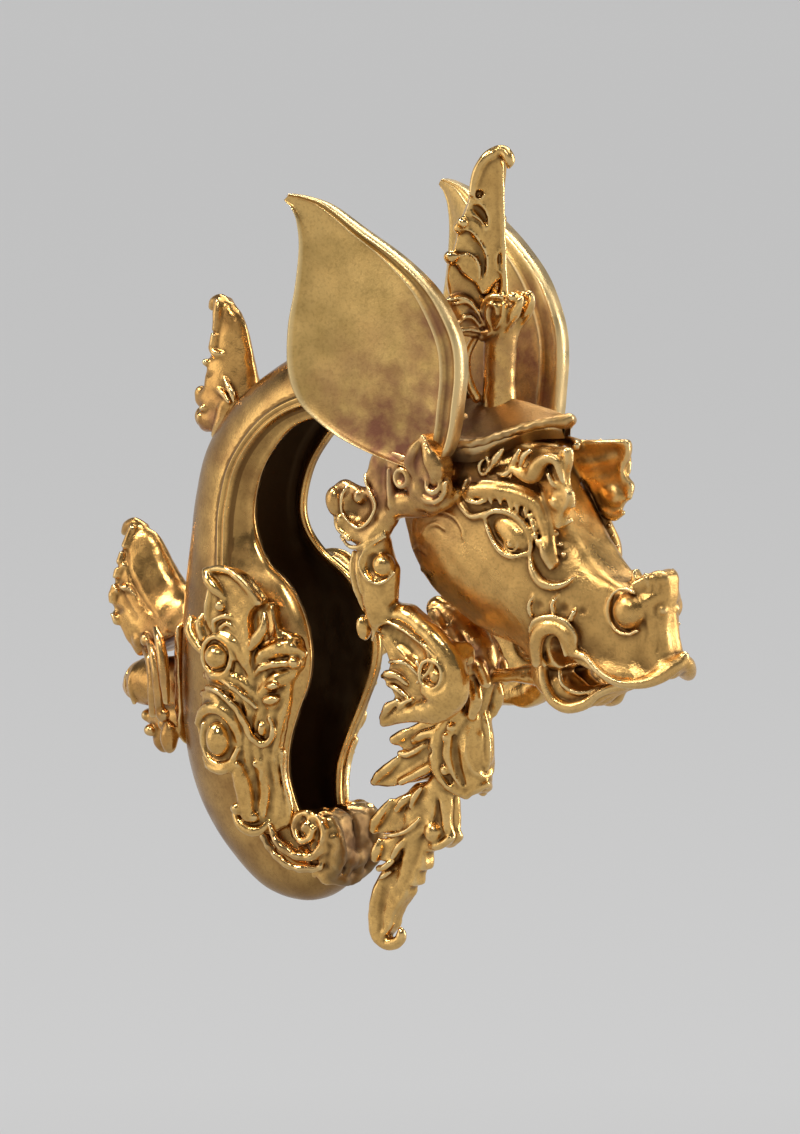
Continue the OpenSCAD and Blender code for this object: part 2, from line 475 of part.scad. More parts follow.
// Mask on the back of the hoop: tall flame, knob brow, collar and lower lobes
back_flame = [[-16.6, 0, -15.2, 1.5], [-17.6, 0, -13.6, 2.2], [-18.0, 0, -11.8, 2.1], [-18.3, 0, -10.3, 1.7],
              [-18.5, 0, -9.2, 1.2], [-18.6, 0, -8.5, 0.7]];
module back_mask() {
    color(gold) difference() {
        union() {
            intersection() {
                hoop_body(mask_sheet);
                translate([-16, -2.4, -21.2]) cube([5.2, 4.8, 9]);
            }
            loft([for (r = back_flame)
                let (w = r[3])
                [[r[0] - 0.3, 0, r[2]], [r[0] + 0.5 * w, w, r[2]], [r[0] + 0.5 * w + 0.4, w, r[2]],
                 [r[0] + 1.2, 0, r[2]], [r[0] + 0.5 * w + 0.4, -w, r[2]], [r[0] + 0.5 * w, -w, r[2]]]]);
            hull() {
                knob(-17.0, 0, -13.0, 1.1);
                knob(-12.8, 0, -13.6, 2.2);
            }
            hull() {
                knob(-17.4, 0, -17.1, 1.3);
                knob(-14.6, 0, -16.6, 1.3);
            }
            for (side = [-1, 1]) {
                bar([[-16.4, side * 0.5, -14.6, 0.5], [-15.2, side * 1.6, -15.2, 0.5], [-13.9, side * 2.1, -16.8, 0.5],
                     [-13.4, side * 2.2, -18.2, 0.5]]);
                bar([[-15.2, side * 1.4, -13.6, 0.45], [-14.0, side * 2.2, -14.4, 0.45], [-13.0, side * 2.6, -16.2, 0.45]]);
                knob(-16.9, side * 1.1, -17.6, 0.8);
                bar([[-14.2, side * 0.9, -19.0, 0.9], [-14.6, side * 0.8, -20.2, 0.7], [-14.2, side * 0.8, -21.2, 0.35]]);
                bar([[-17.9, side * 1.5, -12.4, 0.35], [-17.2, side * 1.0, -13.6, 0.5]]);
                bar([[-18.1, side * 1.2, -10.6, 0.3], [-17.6, side * 0.8, -11.6, 0.45]]);
            }
            bar([[-16.6, 0, -18.4, 0.7], [-15.2, 0, -19.6, 0.7], [-14.0, 0, -19.2, 0.8]]);
            bar([[-18.2, 0, -9.6, 0.55], [-18.3, 0, -8.5, 0.5], [-18.8, 0, -8.0, 0.42], [-19.5, 0, -8.4, 0.25]]);
        }
        hoop_body(gap);
    }
}

// Leafy crest on the shoulder of the hoop
shoulder_leaf = [[-9.8, 0, -0.9, 1.7], [-10.3, 0, 0.8, 1.7], [-10.4, 0, 2.4, 1.4], [-10.3, 0, 3.8, 1.0],
                 [-10.5, 0, 4.9, 0.5]];
module shoulder_crest() {
    color(gold) difference() {
        union() {
            loft([for (r = shoulder_leaf)
                let (w = r[3])
                [[r[0] - 0.6, 0, r[2]], [r[0] + 0.5 * w, w, r[2]], [r[0] + 0.5 * w + 0.4, w, r[2]],
                 [r[0] + 0.8, 0, r[2]], [r[0] + 0.5 * w + 0.4, -w, r[2]], [r[0] + 0.5 * w, -w, r[2]]]]);
            bar([[-10.3, 0, 4.5, 0.45], [-10.7, 0, 5.5, 0.42], [-11.4, 0, 5.9, 0.4], [-12.2, 0, 5.5, 0.28]]);
            for (side = [-1, 1]) {
                bar([[-10.6, side * 0.3, -0.4, 0.7], [-11.7, side * 0.8, 0.1, 0.65]]);
                bar([[-11.0, side * 0.3, -1.4, 0.8], [-12.3, side * 0.5, -1.2, 0.65]]);
                bar([[-10.6, side * 0.4, -1.6, 0.8], [-11.0, side * 1.5, -1.7, 0.75]]);
                bar([[-10.2, side * 0.7, 1.2, 0.5], [-11.2, side * 0.9, 2.0, 0.4], [-11.7, side * 0.9, 2.8, 0.2]]);
                bar([[-10.2, side * 0.5, 2.8, 0.4], [-11.0, side * 0.7, 3.4, 0.3], [-11.3, side * 0.6, 4.0, 0.15]]);
                bar([[-9.4, side * 1.2, -0.4, 0.6], [-9.1, side * 1.9, 0.7, 0.4], [-9.1, side * 1.9, 1.8, 0.2]]);
            }
            hull() {
                knob(-10.8, 0, -1.4, 1.1);
                knob(-9.4, 0, 0.2, 1.2);
            }
        }
        hoop_body(gap);
    }
}

hoop();
head();
right_ear();
left_ear();
crest();
brow_plate();
right_strand();
left_strand();
pendant();
right_mask();
left_mask();
back_mask();
shoulder_crest();
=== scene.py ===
import math

import bpy
import numpy as np
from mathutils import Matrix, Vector


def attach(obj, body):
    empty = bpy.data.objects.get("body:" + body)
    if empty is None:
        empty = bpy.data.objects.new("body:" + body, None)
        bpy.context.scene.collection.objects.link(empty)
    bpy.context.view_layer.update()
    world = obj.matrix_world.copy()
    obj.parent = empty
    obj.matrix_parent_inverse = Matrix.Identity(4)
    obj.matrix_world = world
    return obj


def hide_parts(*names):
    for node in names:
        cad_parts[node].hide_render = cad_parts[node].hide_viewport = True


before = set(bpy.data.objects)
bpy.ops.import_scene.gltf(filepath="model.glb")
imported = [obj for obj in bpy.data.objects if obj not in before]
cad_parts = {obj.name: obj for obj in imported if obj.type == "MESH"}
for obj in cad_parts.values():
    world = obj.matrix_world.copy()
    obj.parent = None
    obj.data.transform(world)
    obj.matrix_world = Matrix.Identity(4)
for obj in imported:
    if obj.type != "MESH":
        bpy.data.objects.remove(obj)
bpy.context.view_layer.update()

# All tables are in millimetres: x the way the head looks, y across, z up.
# Right is the animal's right side, at negative y. Left pieces are its mirror image.
# Within one form, left is its rear and right its front, as seen from the right side.
MM = 0.001
MIRROR = [1, -1, 1]
# Grid step of the castings and of the head, and the distance where no form is near
FINE = 0.09
HEAD_STEP = 0.1065
FAR = 9.0
# Keeps a division from failing on a length of zero
TINY = 1e-9
# Gaps that the reliefs keep from the hoop, where the real ones are soldered on
RELIEF_GAP = 0.12
SHOULDER_GAP = 0.15
# Thickness of the sheets under the side masks and under the back mask
MASK_SHEET, BACK_SHEET = 0.42, 0.35


# Blending and lines

def soft_min(a, b, k):
    """Smaller of two distances, blended over k."""
    h = np.maximum(k - np.abs(a - b), 0.0)
    return np.minimum(a, b) - h * h * (0.25 / k)


def soft_max(a, b, k):
    """Larger of two distances, blended over k."""
    return -soft_min(-a, -b, k)


def unit(v):
    v = np.asarray(v, dtype=float)
    return v / np.maximum(np.linalg.norm(v, axis=-1, keepdims=True), TINY)


def curve(rows, spans=4, closed=False):
    """Smooth line through rows of numbers, with spans steps from row to row."""
    rows = np.array(rows, dtype=float)
    if closed:
        p = np.vstack([rows[-1], rows, rows[0], rows[1]])
    else:
        p = np.vstack([2 * rows[0] - rows[1], rows, 2 * rows[-1] - rows[-2]])
    out = []
    for a, b, c, d in zip(p[:-3], p[1:-2], p[2:-1], p[3:]):
        for t in np.arange(spans) / spans:
            out.append(0.5 * (2 * b + (c - a) * t + (2 * a - 5 * b + 4 * c - d) * t ** 2
                              + (3 * b - a - 3 * c + d) * t ** 3))
    if not closed:
        out.append(rows[-1])
    return np.array(out)


def ring_distance(x, z, ring):
    """Signed distance in the side view to a closed outline, negative inside."""
    best = np.full(np.broadcast(x, z).shape, np.inf, dtype=np.float32)
    odd = np.zeros(best.shape, dtype=bool)
    for a, b in zip(ring, np.roll(ring, -1, axis=0)):
        e = b - a
        t = np.clip(((x - a[0]) * e[0] + (z - a[1]) * e[1]) / max(e @ e, TINY), 0, 1)
        best = np.minimum(best, (x - a[0] - t * e[0]) ** 2 + (z - a[1] - t * e[1]) ** 2)
        if a[1] != b[1]:
            level = (z >= min(a[1], b[1])) & (z < max(a[1], b[1]))
            odd ^= level & (x < a[0] + (z - a[1]) * e[0] / e[1])
    return np.where(odd, -1, 1) * np.sqrt(best)


# Forms: each gives its distance field on a part of the clay's grid

class Stroke:
    """Round bar along a smooth line through rows of x, y, z, radius."""
    def __init__(self, rows, spans=4):
        self.line = curve(rows, spans) if len(rows) > 2 and spans > 1 else np.array(rows, dtype=float)
        radius = self.line[:, 3:4]
        self.low = (self.line[:, :3] - radius).min(0)
        self.high = (self.line[:, :3] + radius).max(0)

    def field(self, clay, pad):
        place, _ = clay.part(self.low - pad, self.high + pad)
        out = np.full([s.stop - s.start for s in place], FAR, dtype=np.float32)
        for a, b in zip(self.line[:-1], self.line[1:]):
            reach = max(a[3], b[3]) + pad
            inner, (x, y, z) = clay.part(np.maximum(np.minimum(a, b)[:3] - reach, self.low - pad),
                                         np.minimum(np.maximum(a, b)[:3] + reach, self.high + pad))
            if any(s.stop <= s.start for s in inner):
                continue
            e = b - a
            t = ((x - a[0]) * e[0] + (y - a[1]) * e[1] + (z - a[2]) * e[2]) / max(e[:3] @ e[:3], TINY)
            t = np.clip(t, 0, 1)
            gone = np.sqrt((x - a[0] - t * e[0]) ** 2 + (y - a[1] - t * e[1]) ** 2
                           + (z - a[2] - t * e[2]) ** 2)
            local = tuple(slice(s.start - p.start, s.stop - p.start) for s, p in zip(inner, place))
            out[local] = np.minimum(out[local], gone - (a[3] + t * e[3]))
        return place, out


class Knob:
    """Ball, or egg with radii rx, ry, rz turned by tilt degrees about y."""
    def __init__(self, x, y, z, rx, ry=None, rz=None, tilt=0.0):
        self.middle = np.array([x, y, z], dtype=float)
        self.radii = np.array([rx, ry or rx, rz or rx], dtype=float)
        self.tilt = math.radians(tilt)
        self.low = self.middle - self.radii.max()
        self.high = self.middle + self.radii.max()

    def field(self, clay, pad):
        place, (x, y, z) = clay.part(self.low - pad, self.high + pad)
        x, y, z = x - self.middle[0], y - self.middle[1], z - self.middle[2]
        c, s = math.cos(self.tilt), math.sin(self.tilt)
        rx, ry, rz = self.radii
        scaled = np.sqrt(((x * c + z * s) / rx) ** 2 + (y / ry) ** 2 + ((z * c - x * s) / rz) ** 2)
        return place, (scaled - 1) * self.radii.min()


class Plate:
    """Flat plate from y0 to y1 with a smooth outline of x, z points."""
    def __init__(self, outline, y0, y1, soft=0.2, spans=3):
        self.ring = curve(outline, spans, closed=True)
        self.y0, self.y1, self.soft = y0, y1, soft
        self.low = np.array([self.ring[:, 0].min(), y0, self.ring[:, 1].min()])
        self.high = np.array([self.ring[:, 0].max(), y1, self.ring[:, 1].max()])

    def field(self, clay, pad):
        place, (x, y, z) = clay.part(self.low - pad, self.high + pad)
        flat = ring_distance(x[:, 0], z[0], self.ring)[:, None, :]
        slab = np.abs(y - (self.y0 + self.y1) / 2) - (self.y1 - self.y0) / 2
        return place, soft_max(flat, slab + 0 * flat, self.soft)


class Panel:
    """Upright sheet with a smooth outline, in a plane of its own.

    origin: a place on it at height 0. way: its level axis from above. outline: rows of distance along
    that axis and height. back, front: where it starts and ends along its normal, which points outwards.
    bow: how far the middle stands out, within about SWELL of the edge.
    """
    SWELL = 0.7

    def __init__(self, origin, way, outline, back, front, bow=0.0, soft=0.16):
        self.origin = np.array([origin[0], origin[1], 0.0])
        self.u = unit([way[0], way[1], 0.0])
        self.n = np.array([-self.u[1], self.u[0], 0.0]) * (-1 if self.u[0] > 0 else 1)
        self.ring = curve(outline, 3, closed=True)
        self.back, self.front, self.bow, self.soft = back, front, bow, soft
        (u0, v0), (u1, v1) = self.ring.min(0), self.ring.max(0)
        corners = [self.place(u, v, h) for u in (u0, u1) for v in (v0, v1) for h in (back, front + bow)]
        self.low, self.high = np.min(corners, 0), np.max(corners, 0)

    def place(self, u, v, h):
        return self.origin + self.u * u + np.array([0, 0, v]) + self.n * h

    def field(self, clay, pad):
        place, (x, y, z) = clay.part(self.low - pad, self.high + pad)
        x, y = x - self.origin[0], y - self.origin[1]
        h = x * self.n[0] + y * self.n[1]
        flat = ring_distance(x * self.u[0] + y * self.u[1], z, self.ring)
        top = self.front + self.bow * (1 - np.exp(np.minimum(flat, 0) / self.SWELL))
        return place, soft_max(flat, np.maximum(h - top, self.back - h), self.soft).astype(np.float32)

    def lay(self, rows):
        """Stroke on the front, from rows of distance along, height, lift, radius."""
        line = curve(rows, 4) if len(rows) > 2 else np.array(rows, dtype=float)
        return Stroke([[*self.place(u, v, self.front + self.bow + lift), r] for u, v, lift, r in line], 1)

    def knob(self, u, v, lift, r):
        return Knob(*self.place(u, v, self.front + self.bow + lift), r)


class Slot:
    """Cut right across y along a smooth line through rows of x, z, radius."""
    def __init__(self, rows, y0, y1):
        line = curve(rows, 4)
        self.stroke = Stroke(np.stack([line[:, 0], 0 * line[:, 0], line[:, 1], line[:, 2]], 1), 1)
        self.low, self.high = self.stroke.low.copy(), self.stroke.high.copy()
        self.low[1], self.high[1] = y0, y1

    def field(self, clay, pad):
        place, (x, y, z) = clay.part(self.low - pad, self.high + pad)
        best = FAR + 0 * (x + y + z)
        for a, b in zip(self.stroke.line[:-1], self.stroke.line[1:]):
            e = b - a
            t = np.clip(((x - a[0]) * e[0] + (z - a[2]) * e[2]) / max(e[0] ** 2 + e[2] ** 2, TINY), 0, 1)
            away = np.sqrt((x - a[0] - t * e[0]) ** 2 + (z - a[2] - t * e[2]) ** 2) - a[3] - t * e[3]
            best = np.minimum(best, away + 0 * y)
        return place, best


class Body:
    """Symmetric body given by its half width over the side view.

    sections: array of sections, each a row of x, z, half width from one edge of the side view to the other.
    STEP, MARGIN: grid of the side view and the room round it. GROW, SMOOTH: how often the widths are spread
    outwards and evened. STEEPEST: limit of the slope. SIDES: the four neighbours of a place.
    """
    STEP = 0.1
    MARGIN = 2
    GROW, SMOOTH = 40, 3
    STEEPEST = 3
    SIDES = [(way, axis) for axis in (0, 1) for way in (-1, 1)]

    def __init__(self, sections, soft):
        self.soft = soft
        self.ring = np.vstack([sections[:, 0, :2], sections[::-1, -1, :2]])
        self.origin = self.ring.min(0) - self.MARGIN
        size = np.ceil((self.ring.max(0) + self.MARGIN - self.origin) / self.STEP).astype(int) + 1
        total, count = np.zeros(size), np.zeros(size)
        spots = sections.reshape(-1, 3)
        i, j = np.round((spots[:, :2] - self.origin) / self.STEP).astype(int).T
        np.add.at(total, (i, j), spots[:, 2])
        np.add.at(count, (i, j), 1)
        known = count > 0
        half = np.where(known, total / np.maximum(count, 1), 0)
        for _ in range(self.GROW):
            grown, near = np.zeros(size), np.zeros(size)
            for way, axis in self.SIDES:
                grown += np.roll(half * known, way, axis)
                near += np.roll(known, way, axis)
            fresh = ~known & (near > 0)
            half[fresh] = grown[fresh] / near[fresh]
            known |= fresh
        for _ in range(self.SMOOTH):
            half = (half + sum(np.roll(half, way, axis) for way, axis in self.SIDES)) / 5
        self.half = half
        self.slope = np.minimum(np.hypot(*np.gradient(half, self.STEP)), self.STEEPEST)
        self.low = np.array([self.ring[:, 0].min(), -half.max(), self.ring[:, 1].min()])
        self.high = np.array([self.ring[:, 0].max(), half.max(), self.ring[:, 1].max()])

    def look_up(self, table, x, z):
        """Value of a side view table at x, z."""
        i = np.clip((x - self.origin[0]) / self.STEP, 0, table.shape[0] - 1.001)
        j = np.clip((z - self.origin[1]) / self.STEP, 0, table.shape[1] - 1.001)
        i, j = np.broadcast_arrays(i, j)
        a, b = i.astype(int), j.astype(int)
        f, g = i - a, j - b
        return ((table[a, b] * (1 - f) + table[a + 1, b] * f) * (1 - g)
                + (table[a, b + 1] * (1 - f) + table[a + 1, b + 1] * f) * g)

    def field(self, clay, pad):
        place, (x, y, z) = clay.part(self.low - pad, self.high + pad)
        flat = ring_distance(x[:, 0], z[0], self.ring)[:, None, :]
        half = self.look_up(self.half, x[:, 0], z[0])[:, None, :]
        slope = self.look_up(self.slope, x[:, 0], z[0])[:, None, :]
        side = (np.abs(y) - half) / np.sqrt(1 + slope ** 2)
        return place, soft_max(side, flat + 0 * side, self.soft).astype(np.float32)

    def lay(self, rows):
        """Stroke on the right side of the body, from rows of x, z, lift off the surface, radius."""
        line = curve(rows, 4) if len(rows) > 2 else np.array(rows, dtype=float)
        y = -self.look_up(self.half, line[:, 0], line[:, 1]) - line[:, 2]
        return Stroke(np.stack([line[:, 0], y, line[:, 1], line[:, 3]], 1), 1)

    def knob(self, x, z, lift, rx, ry=None, rz=None, tilt=0.0):
        y = -float(self.look_up(self.half, np.float64(x), np.float64(z))) - lift
        return Knob(x, y, z, rx, ry, rz, tilt)


def coil(x, y, z, r0, r1, start, turn, b0, b1):
    """Coil seen from the side: radius r0 to r1 from start through turn degrees, with bar radius b0 to b1."""
    # A step for each 24 degrees, and at least six
    steps = max(6, int(abs(turn) / 24))
    rows = []
    for s in np.linspace(0, 1, steps + 1):
        angle = math.radians(start + turn * s)
        r = r0 + (r1 - r0) * s
        rows.append([x + r * math.cos(angle), y, z + r * math.sin(angle), b0 + (b1 - b0) * s])
    return Stroke(rows, 1)


# Clay: forms are blended on and cut away on a fine grid, then the skin comes off as a mesh

class Clay:
    """Block of space that forms are added to and cut from, as distances on a grid.

    MELT: how much wider add blends than asked. EDGE_REACH, DEPTH_REACH: how far round a vertex its fine
    and broad marks look. NEAR, WHOLE: how far off a sheet and a form that is kept are worked out.
    """
    NEAR, WHOLE = 1.5, 30
    MELT = 1.6
    EDGE_REACH, DEPTH_REACH = 0.18, 0.8

    def __init__(self, low, high, step=FINE, mirrored=False):
        self.step, self.mirrored = step, mirrored
        self.low = np.array(low, dtype=float)
        if mirrored:
            self.low[1] = -step * math.ceil(-self.low[1] / step)
            high = [high[0], 0.0, high[2]]
        counts = np.round((np.array(high) - self.low) / step).astype(int) + 1
        self.axes = [(self.low[i] + step * np.arange(counts[i])).astype(np.float32) for i in range(3)]
        self.distance = np.full(counts, FAR, dtype=np.float32)

    def part(self, low, high):
        """Slices of the grid inside a box, and the coordinates there."""
        place = []
        for i, n in enumerate(self.distance.shape):
            start = int(np.clip(math.floor((low[i] - self.low[i]) / self.step), 0, n))
            stop = int(np.clip(math.ceil((high[i] - self.low[i]) / self.step) + 1, start, n))
            place.append(slice(start, stop))
        axes = [axis[s] for axis, s in zip(self.axes, place)]
        return tuple(place), np.meshgrid(*axes, indexing="ij", sparse=True)

    def add(self, *forms, blend=0.14):
        wide = self.MELT * blend
        for form in forms:
            place, d = form.field(self, wide + 2 * self.step)
            self.distance[place] = soft_min(self.distance[place], d, wide)

    def cut(self, *forms, blend=0.1, grow=0.0):
        for form in forms:
            place, d = form.field(self, blend + 2 * self.step + abs(grow))
            self.distance[place] = soft_max(self.distance[place], grow - d, blend)

    def coat(self, body, thick):
        """Sheet over the surface of a body, as the first form."""
        place, d = body.field(self, self.NEAR)
        self.distance[place] = d - thick

    def keep(self, form, blend):
        """Cuts away all that is outside a form."""
        _, d = form.field(self, self.WHOLE)
        self.distance[:] = soft_max(self.distance, d, blend)

    def roughen(self, amount, size):
        """Uneven hand-worked surface: waves of that height and length."""
        x, y, z = np.meshgrid(*self.axes, indexing="ij", sparse=True)
        k = 2 * math.pi / size
        wave = (np.sin(k * x + 1.3 * np.sin(k * 0.7 * z)) * np.sin(k * 0.8 * y + 2.0)
                + np.sin(k * 1.1 * z + 1.7 * np.sin(k * 0.6 * y + 0.4)) * np.cos(k * 0.9 * x))
        self.distance += (amount * 0.5) * wave

    def skin(self):
        """Vertices, quads and how far each vertex stands out (fine and broad)."""
        d = self.distance
        if self.mirrored:
            d = np.concatenate([d, d[:, -2::-1]], axis=1)
        d = np.pad(d, 1, constant_values=FAR)
        verts, quads = surface_net(d)
        solid = np.clip(-d / self.step, -1, 1)
        at = np.minimum(verts.astype(int), np.array(d.shape) - 2)
        f = verts - at
        marks = []
        for reach in (self.EDGE_REACH, self.DEPTH_REACH):
            soft = blur(blur(solid, max(1, round(reach / self.step))), 1)
            value = np.zeros(len(verts))
            for i, j, k in np.ndindex(2, 2, 2):
                share = np.prod(np.where([i, j, k], f, 1 - f), axis=1)
                value -= share * soft[at[:, 0] + i, at[:, 1] + j, at[:, 2] + k]
            marks.append(value)
        return verts * self.step + (self.low - self.step), quads, np.stack(marks, 1)


def blur(a, n):
    """Mean over a box of 2n + 1 cells each way."""
    for axis in range(3):
        wide = [(0, 0)] * 3
        wide[axis] = (n + 1, n)
        total = np.cumsum(np.pad(a, wide, mode="edge"), axis=axis, dtype=np.float64)
        total = np.moveaxis(total, axis, 0)
        a = np.moveaxis((total[2 * n + 1:] - total[:-2 * n - 1]) / (2 * n + 1), 0, axis).astype(np.float32)
    return a


def surface_net(d):
    """One vertex for each cell that the zero level crosses, one quad for each edge that it crosses."""
    inside = d < 0
    nx, ny, nz = d.shape
    corners = list(np.ndindex(2, 2, 2))
    cell = (nx - 1, ny - 1, nz - 1)
    total = np.zeros(cell, dtype=np.int8)
    for i, j, k in corners:
        total += inside[i:i + cell[0], j:j + cell[1], k:k + cell[2]]
    cells = np.argwhere((total > 0) & (total < 8))
    index = np.full(cell, -1, dtype=np.int64)
    index[tuple(cells.T)] = np.arange(len(cells))
    value = {c: d[tuple((cells + c).T)] for c in corners}
    place = np.zeros((len(cells), 3))
    count = np.zeros(len(cells))
    for c in corners:
        for axis in range(3):
            if c[axis]:
                continue
            e = list(c)
            e[axis] = 1
            a, b = value[c], value[tuple(e)]
            hit = (a < 0) != (b < 0)
            t = np.where(hit, a / np.where(hit, a - b, 1), 0)
            spot = np.array(c, dtype=float) * hit[:, None]
            spot[:, axis] += t
            place += spot
            count += hit
    verts = cells + place / count[:, None]
    quads = []
    for axis in range(3):
        p, q = [(1, 2), (2, 0), (0, 1)][axis]
        one = [slice(1, -1)] * 3
        one[axis] = slice(0, -1)
        two = list(one)
        two[axis] = slice(1, None)
        first, second = inside[tuple(one)], inside[tuple(two)]
        spots = np.argwhere(first != second)
        rise = first[tuple(spots.T)]
        spots += [0 if i == axis else 1 for i in range(3)]
        ring = []
        for dp, dq in ((-1, -1), (0, -1), (0, 0), (-1, 0)):
            at = spots.copy()
            at[:, p] += dp
            at[:, q] += dq
            ring.append(index[tuple(at.T)])
        ring = np.stack(ring, 1)
        ring[~rise] = ring[~rise][:, ::-1]
        quads.append(ring)
    return verts, np.concatenate(quads)


def cap(ids):
    """Quads that close a section that is the same on both sides: ids run once round it."""
    half = len(ids) // 2
    return np.array([[ids[k], ids[k + 1], ids[-k - 2], ids[-k - 1]] for k in range(half - 1)])


def loft(sections, flip=False):
    """Vertices and quads of a skin through sections of the same number of points, closed at both ends."""
    m, n = sections.shape[:2]
    ids = np.arange(m * n).reshape(m, n)
    a, b = ids[:-1], ids[1:]
    quads = np.stack([a, np.roll(a, -1, 1), np.roll(b, -1, 1), b], -1).reshape(-1, 4)
    quads = np.vstack([quads, cap(ids[0]), cap(ids[-1])[:, ::-1]])
    return sections.reshape(m * n, -1), quads[:, ::-1] if flip else quads


def joined(first, second):
    """Two skins as one. Each is its vertices, quads and marks."""
    (verts, quads, marks), (more, more_quads, more_marks) = first, second
    quads = np.vstack([quads, more_quads + len(verts)])
    return np.vstack([verts, more]), quads, np.vstack([marks, more_marks])


# Objects

def make(name, verts, quads, marks, node, inside=None):
    """Blender object in place of a CAD node. verts in mm. marks: how far each stands out, fine and broad; the
    gold paints highlight on what stands out and shade in what lies deep.
    """
    mesh = bpy.data.meshes.new(name)
    mesh.vertices.add(len(verts))
    mesh.vertices.foreach_set("co", (verts * MM).astype(np.float32).ravel())
    mesh.loops.add(len(quads) * 4)
    mesh.loops.foreach_set("vertex_index", quads.astype(np.int32).ravel())
    mesh.polygons.add(len(quads))
    mesh.polygons.foreach_set("loop_start", np.arange(0, len(quads) * 4, 4, dtype=np.int32))
    mesh.update(calc_edges=True)
    mesh.validate()
    mesh.shade_smooth()
    layers = {"edge": marks[:, 0], "depth": marks[:, 1], "tarnish_and_shade": tarnish_and_shade(verts),
              "inside": np.zeros(len(verts)) if inside is None else inside}
    for layer, values in layers.items():
        mesh.attributes.new(layer, "FLOAT", "POINT").data.foreach_set("value", values.astype(np.float32))
    thing = bpy.data.objects.new(name, mesh)
    bpy.context.scene.collection.objects.link(thing)
    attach(thing, "root")
    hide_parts(node)
    return thing


# Tarnish spots: x, y, z, radius. With y above zero a spot is on the left side alone, else on both sides. The
# wide spot at 6.4, -4.9, -0.8 is partly tarnish and partly painted shade on the lower ear.
# It ends at STAIN_END times its radius and is full nearer than a quarter of it.
STAIN_END = 1.25
tarnish_and_shade_spots = [
    [9.0, -4.6, 0.2, 2.6], [6.0, -4.8, -3.0, 1.8], [9.8, 0.0, 3.6, 2.2], [10.0, -1.5, 6.0, 1.2],
    [9.6, -3.4, 2.2, 2.0], [6.8, -2.8, -7.0, 1.2], [8.0, -2.0, -11.0, 2.2], [9.0, -1.0, -12.5, 1.8],
    [-1.0, 0.0, -25.0, 1.5], [-13.5, -1.0, -14.5, 2.0], [-10.8, -1.0, -1.0, 1.4], [7.5, -2.5, 1.0, 2.0],
    [10.0, -3.4, -1.2, 1.6], [9.0, -3.2, 5.6, 2.8], [6.4, -4.9, -0.8, 6.0],
    [8.8, 4.9, 2.6, 4.4], [10.2, 5.2, 0.6, 3.0]]


def tarnish_and_shade(verts):
    """How tarnished each place is, from 0 to 1; on the lower ear this also stands for painted shade."""
    out = np.zeros(len(verts))
    for x, y, z, r in tarnish_and_shade_spots:
        side = verts[:, 1] if y > 0 else -np.abs(verts[:, 1])
        away = np.sqrt((verts[:, 0] - x) ** 2 + (side - y) ** 2 + (verts[:, 2] - z) ** 2)
        out = np.maximum(out, np.clip(STAIN_END - away / r, 0, 1))
    return out


def both_sides(name, verts, quads, marks, node):
    """The right piece and its mirror image."""
    right = make("right_" + name, verts, quads, marks, "right_" + node)
    left = make("left_" + name, verts * MIRROR, quads[:, ::-1], marks, "left_" + node)
    return [right, left]


# Hoop sections: rim x, rim z, back x, back z, half opening, half width, place of the widest line, moulding
hoop_rows = [
    [6.2, -2.0, 7.0, 2.3, 2.0, 2.5, 0.30, 0.5],
    [4.4, -0.9, 4.8, 3.5, 2.1, 2.6, 0.28, 1],
    [2.4, -0.2, 2.4, 4.1, 2.2, 2.65, 0.27, 1],
    [0.0, 0.0, -0.8, 4.1, 2.3, 2.7, 0.26, 1],
    [-2.0, -0.3, -4.2, 3.1, 2.3, 2.8, 0.25, 1],
    [-3.6, -1.0, -7.2, 1.4, 2.3, 2.9, 0.25, 1],
    [-4.9, -2.2, -9.6, -0.6, 2.3, 3.0, 0.25, 1],
    [-6.0, -3.8, -11.2, -3.0, 2.25, 3.1, 0.25, 1],
    [-6.55, -5.8, -12.0, -5.8, 2.2, 3.15, 0.25, 1],
    [-6.3, -7.3, -12.3, -8.0, 2.25, 3.3, 0.27, 1],
    [-5.2, -8.7, -12.5, -9.8, 2.5, 3.6, 0.34, 0.8],
    [-3.4, -9.9, -12.6, -11.4, 2.7, 4.0, 0.42, 0.2],
    [-2.1, -11.5, -12.7, -13.2, 2.9, 4.2, 0.45, 0],
    [-1.5, -13.4, -12.8, -15.2, 3.0, 4.3, 0.46, 0],
    [-1.7, -15.2, -12.8, -17.2, 3.0, 4.3, 0.45, 0],
    [-2.5, -17.0, -12.6, -19.2, 3.0, 4.2, 0.43, 0],
    [-3.3, -18.8, -12.2, -21.3, 2.8, 4.0, 0.40, 0],
    [-3.8, -20.6, -11.3, -23.6, 2.4, 3.6, 0.36, 0],
    [-3.7, -22.0, -9.5, -25.9, 2.1, 3.2, 0.34, 0],
    [-3.4, -23.0, -6.8, -27.9, 1.9, 2.8, 0.34, 0],
    [-2.9, -23.6, -3.9, -28.3, 1.8, 2.5, 0.36, 0],
    [-2.2, -23.9, -2.0, -27.4, 1.6, 2.2, 0.38, 0],
    [-1.5, -23.9, -1.0, -25.8, 1.5, 1.9, 0.40, 0]]
# Thickness of the hoop's sheet
wall = 0.5
# Roundness of the back (1 is round), where it starts, and the heights of the moulding and of the lip
ROUND, SQUARE, FLARE = 1.15, 0.8, 0.85
ROUND_START = 0.95
BEAD_HEIGHT, LIP_HEIGHT = 0.2, 0.06


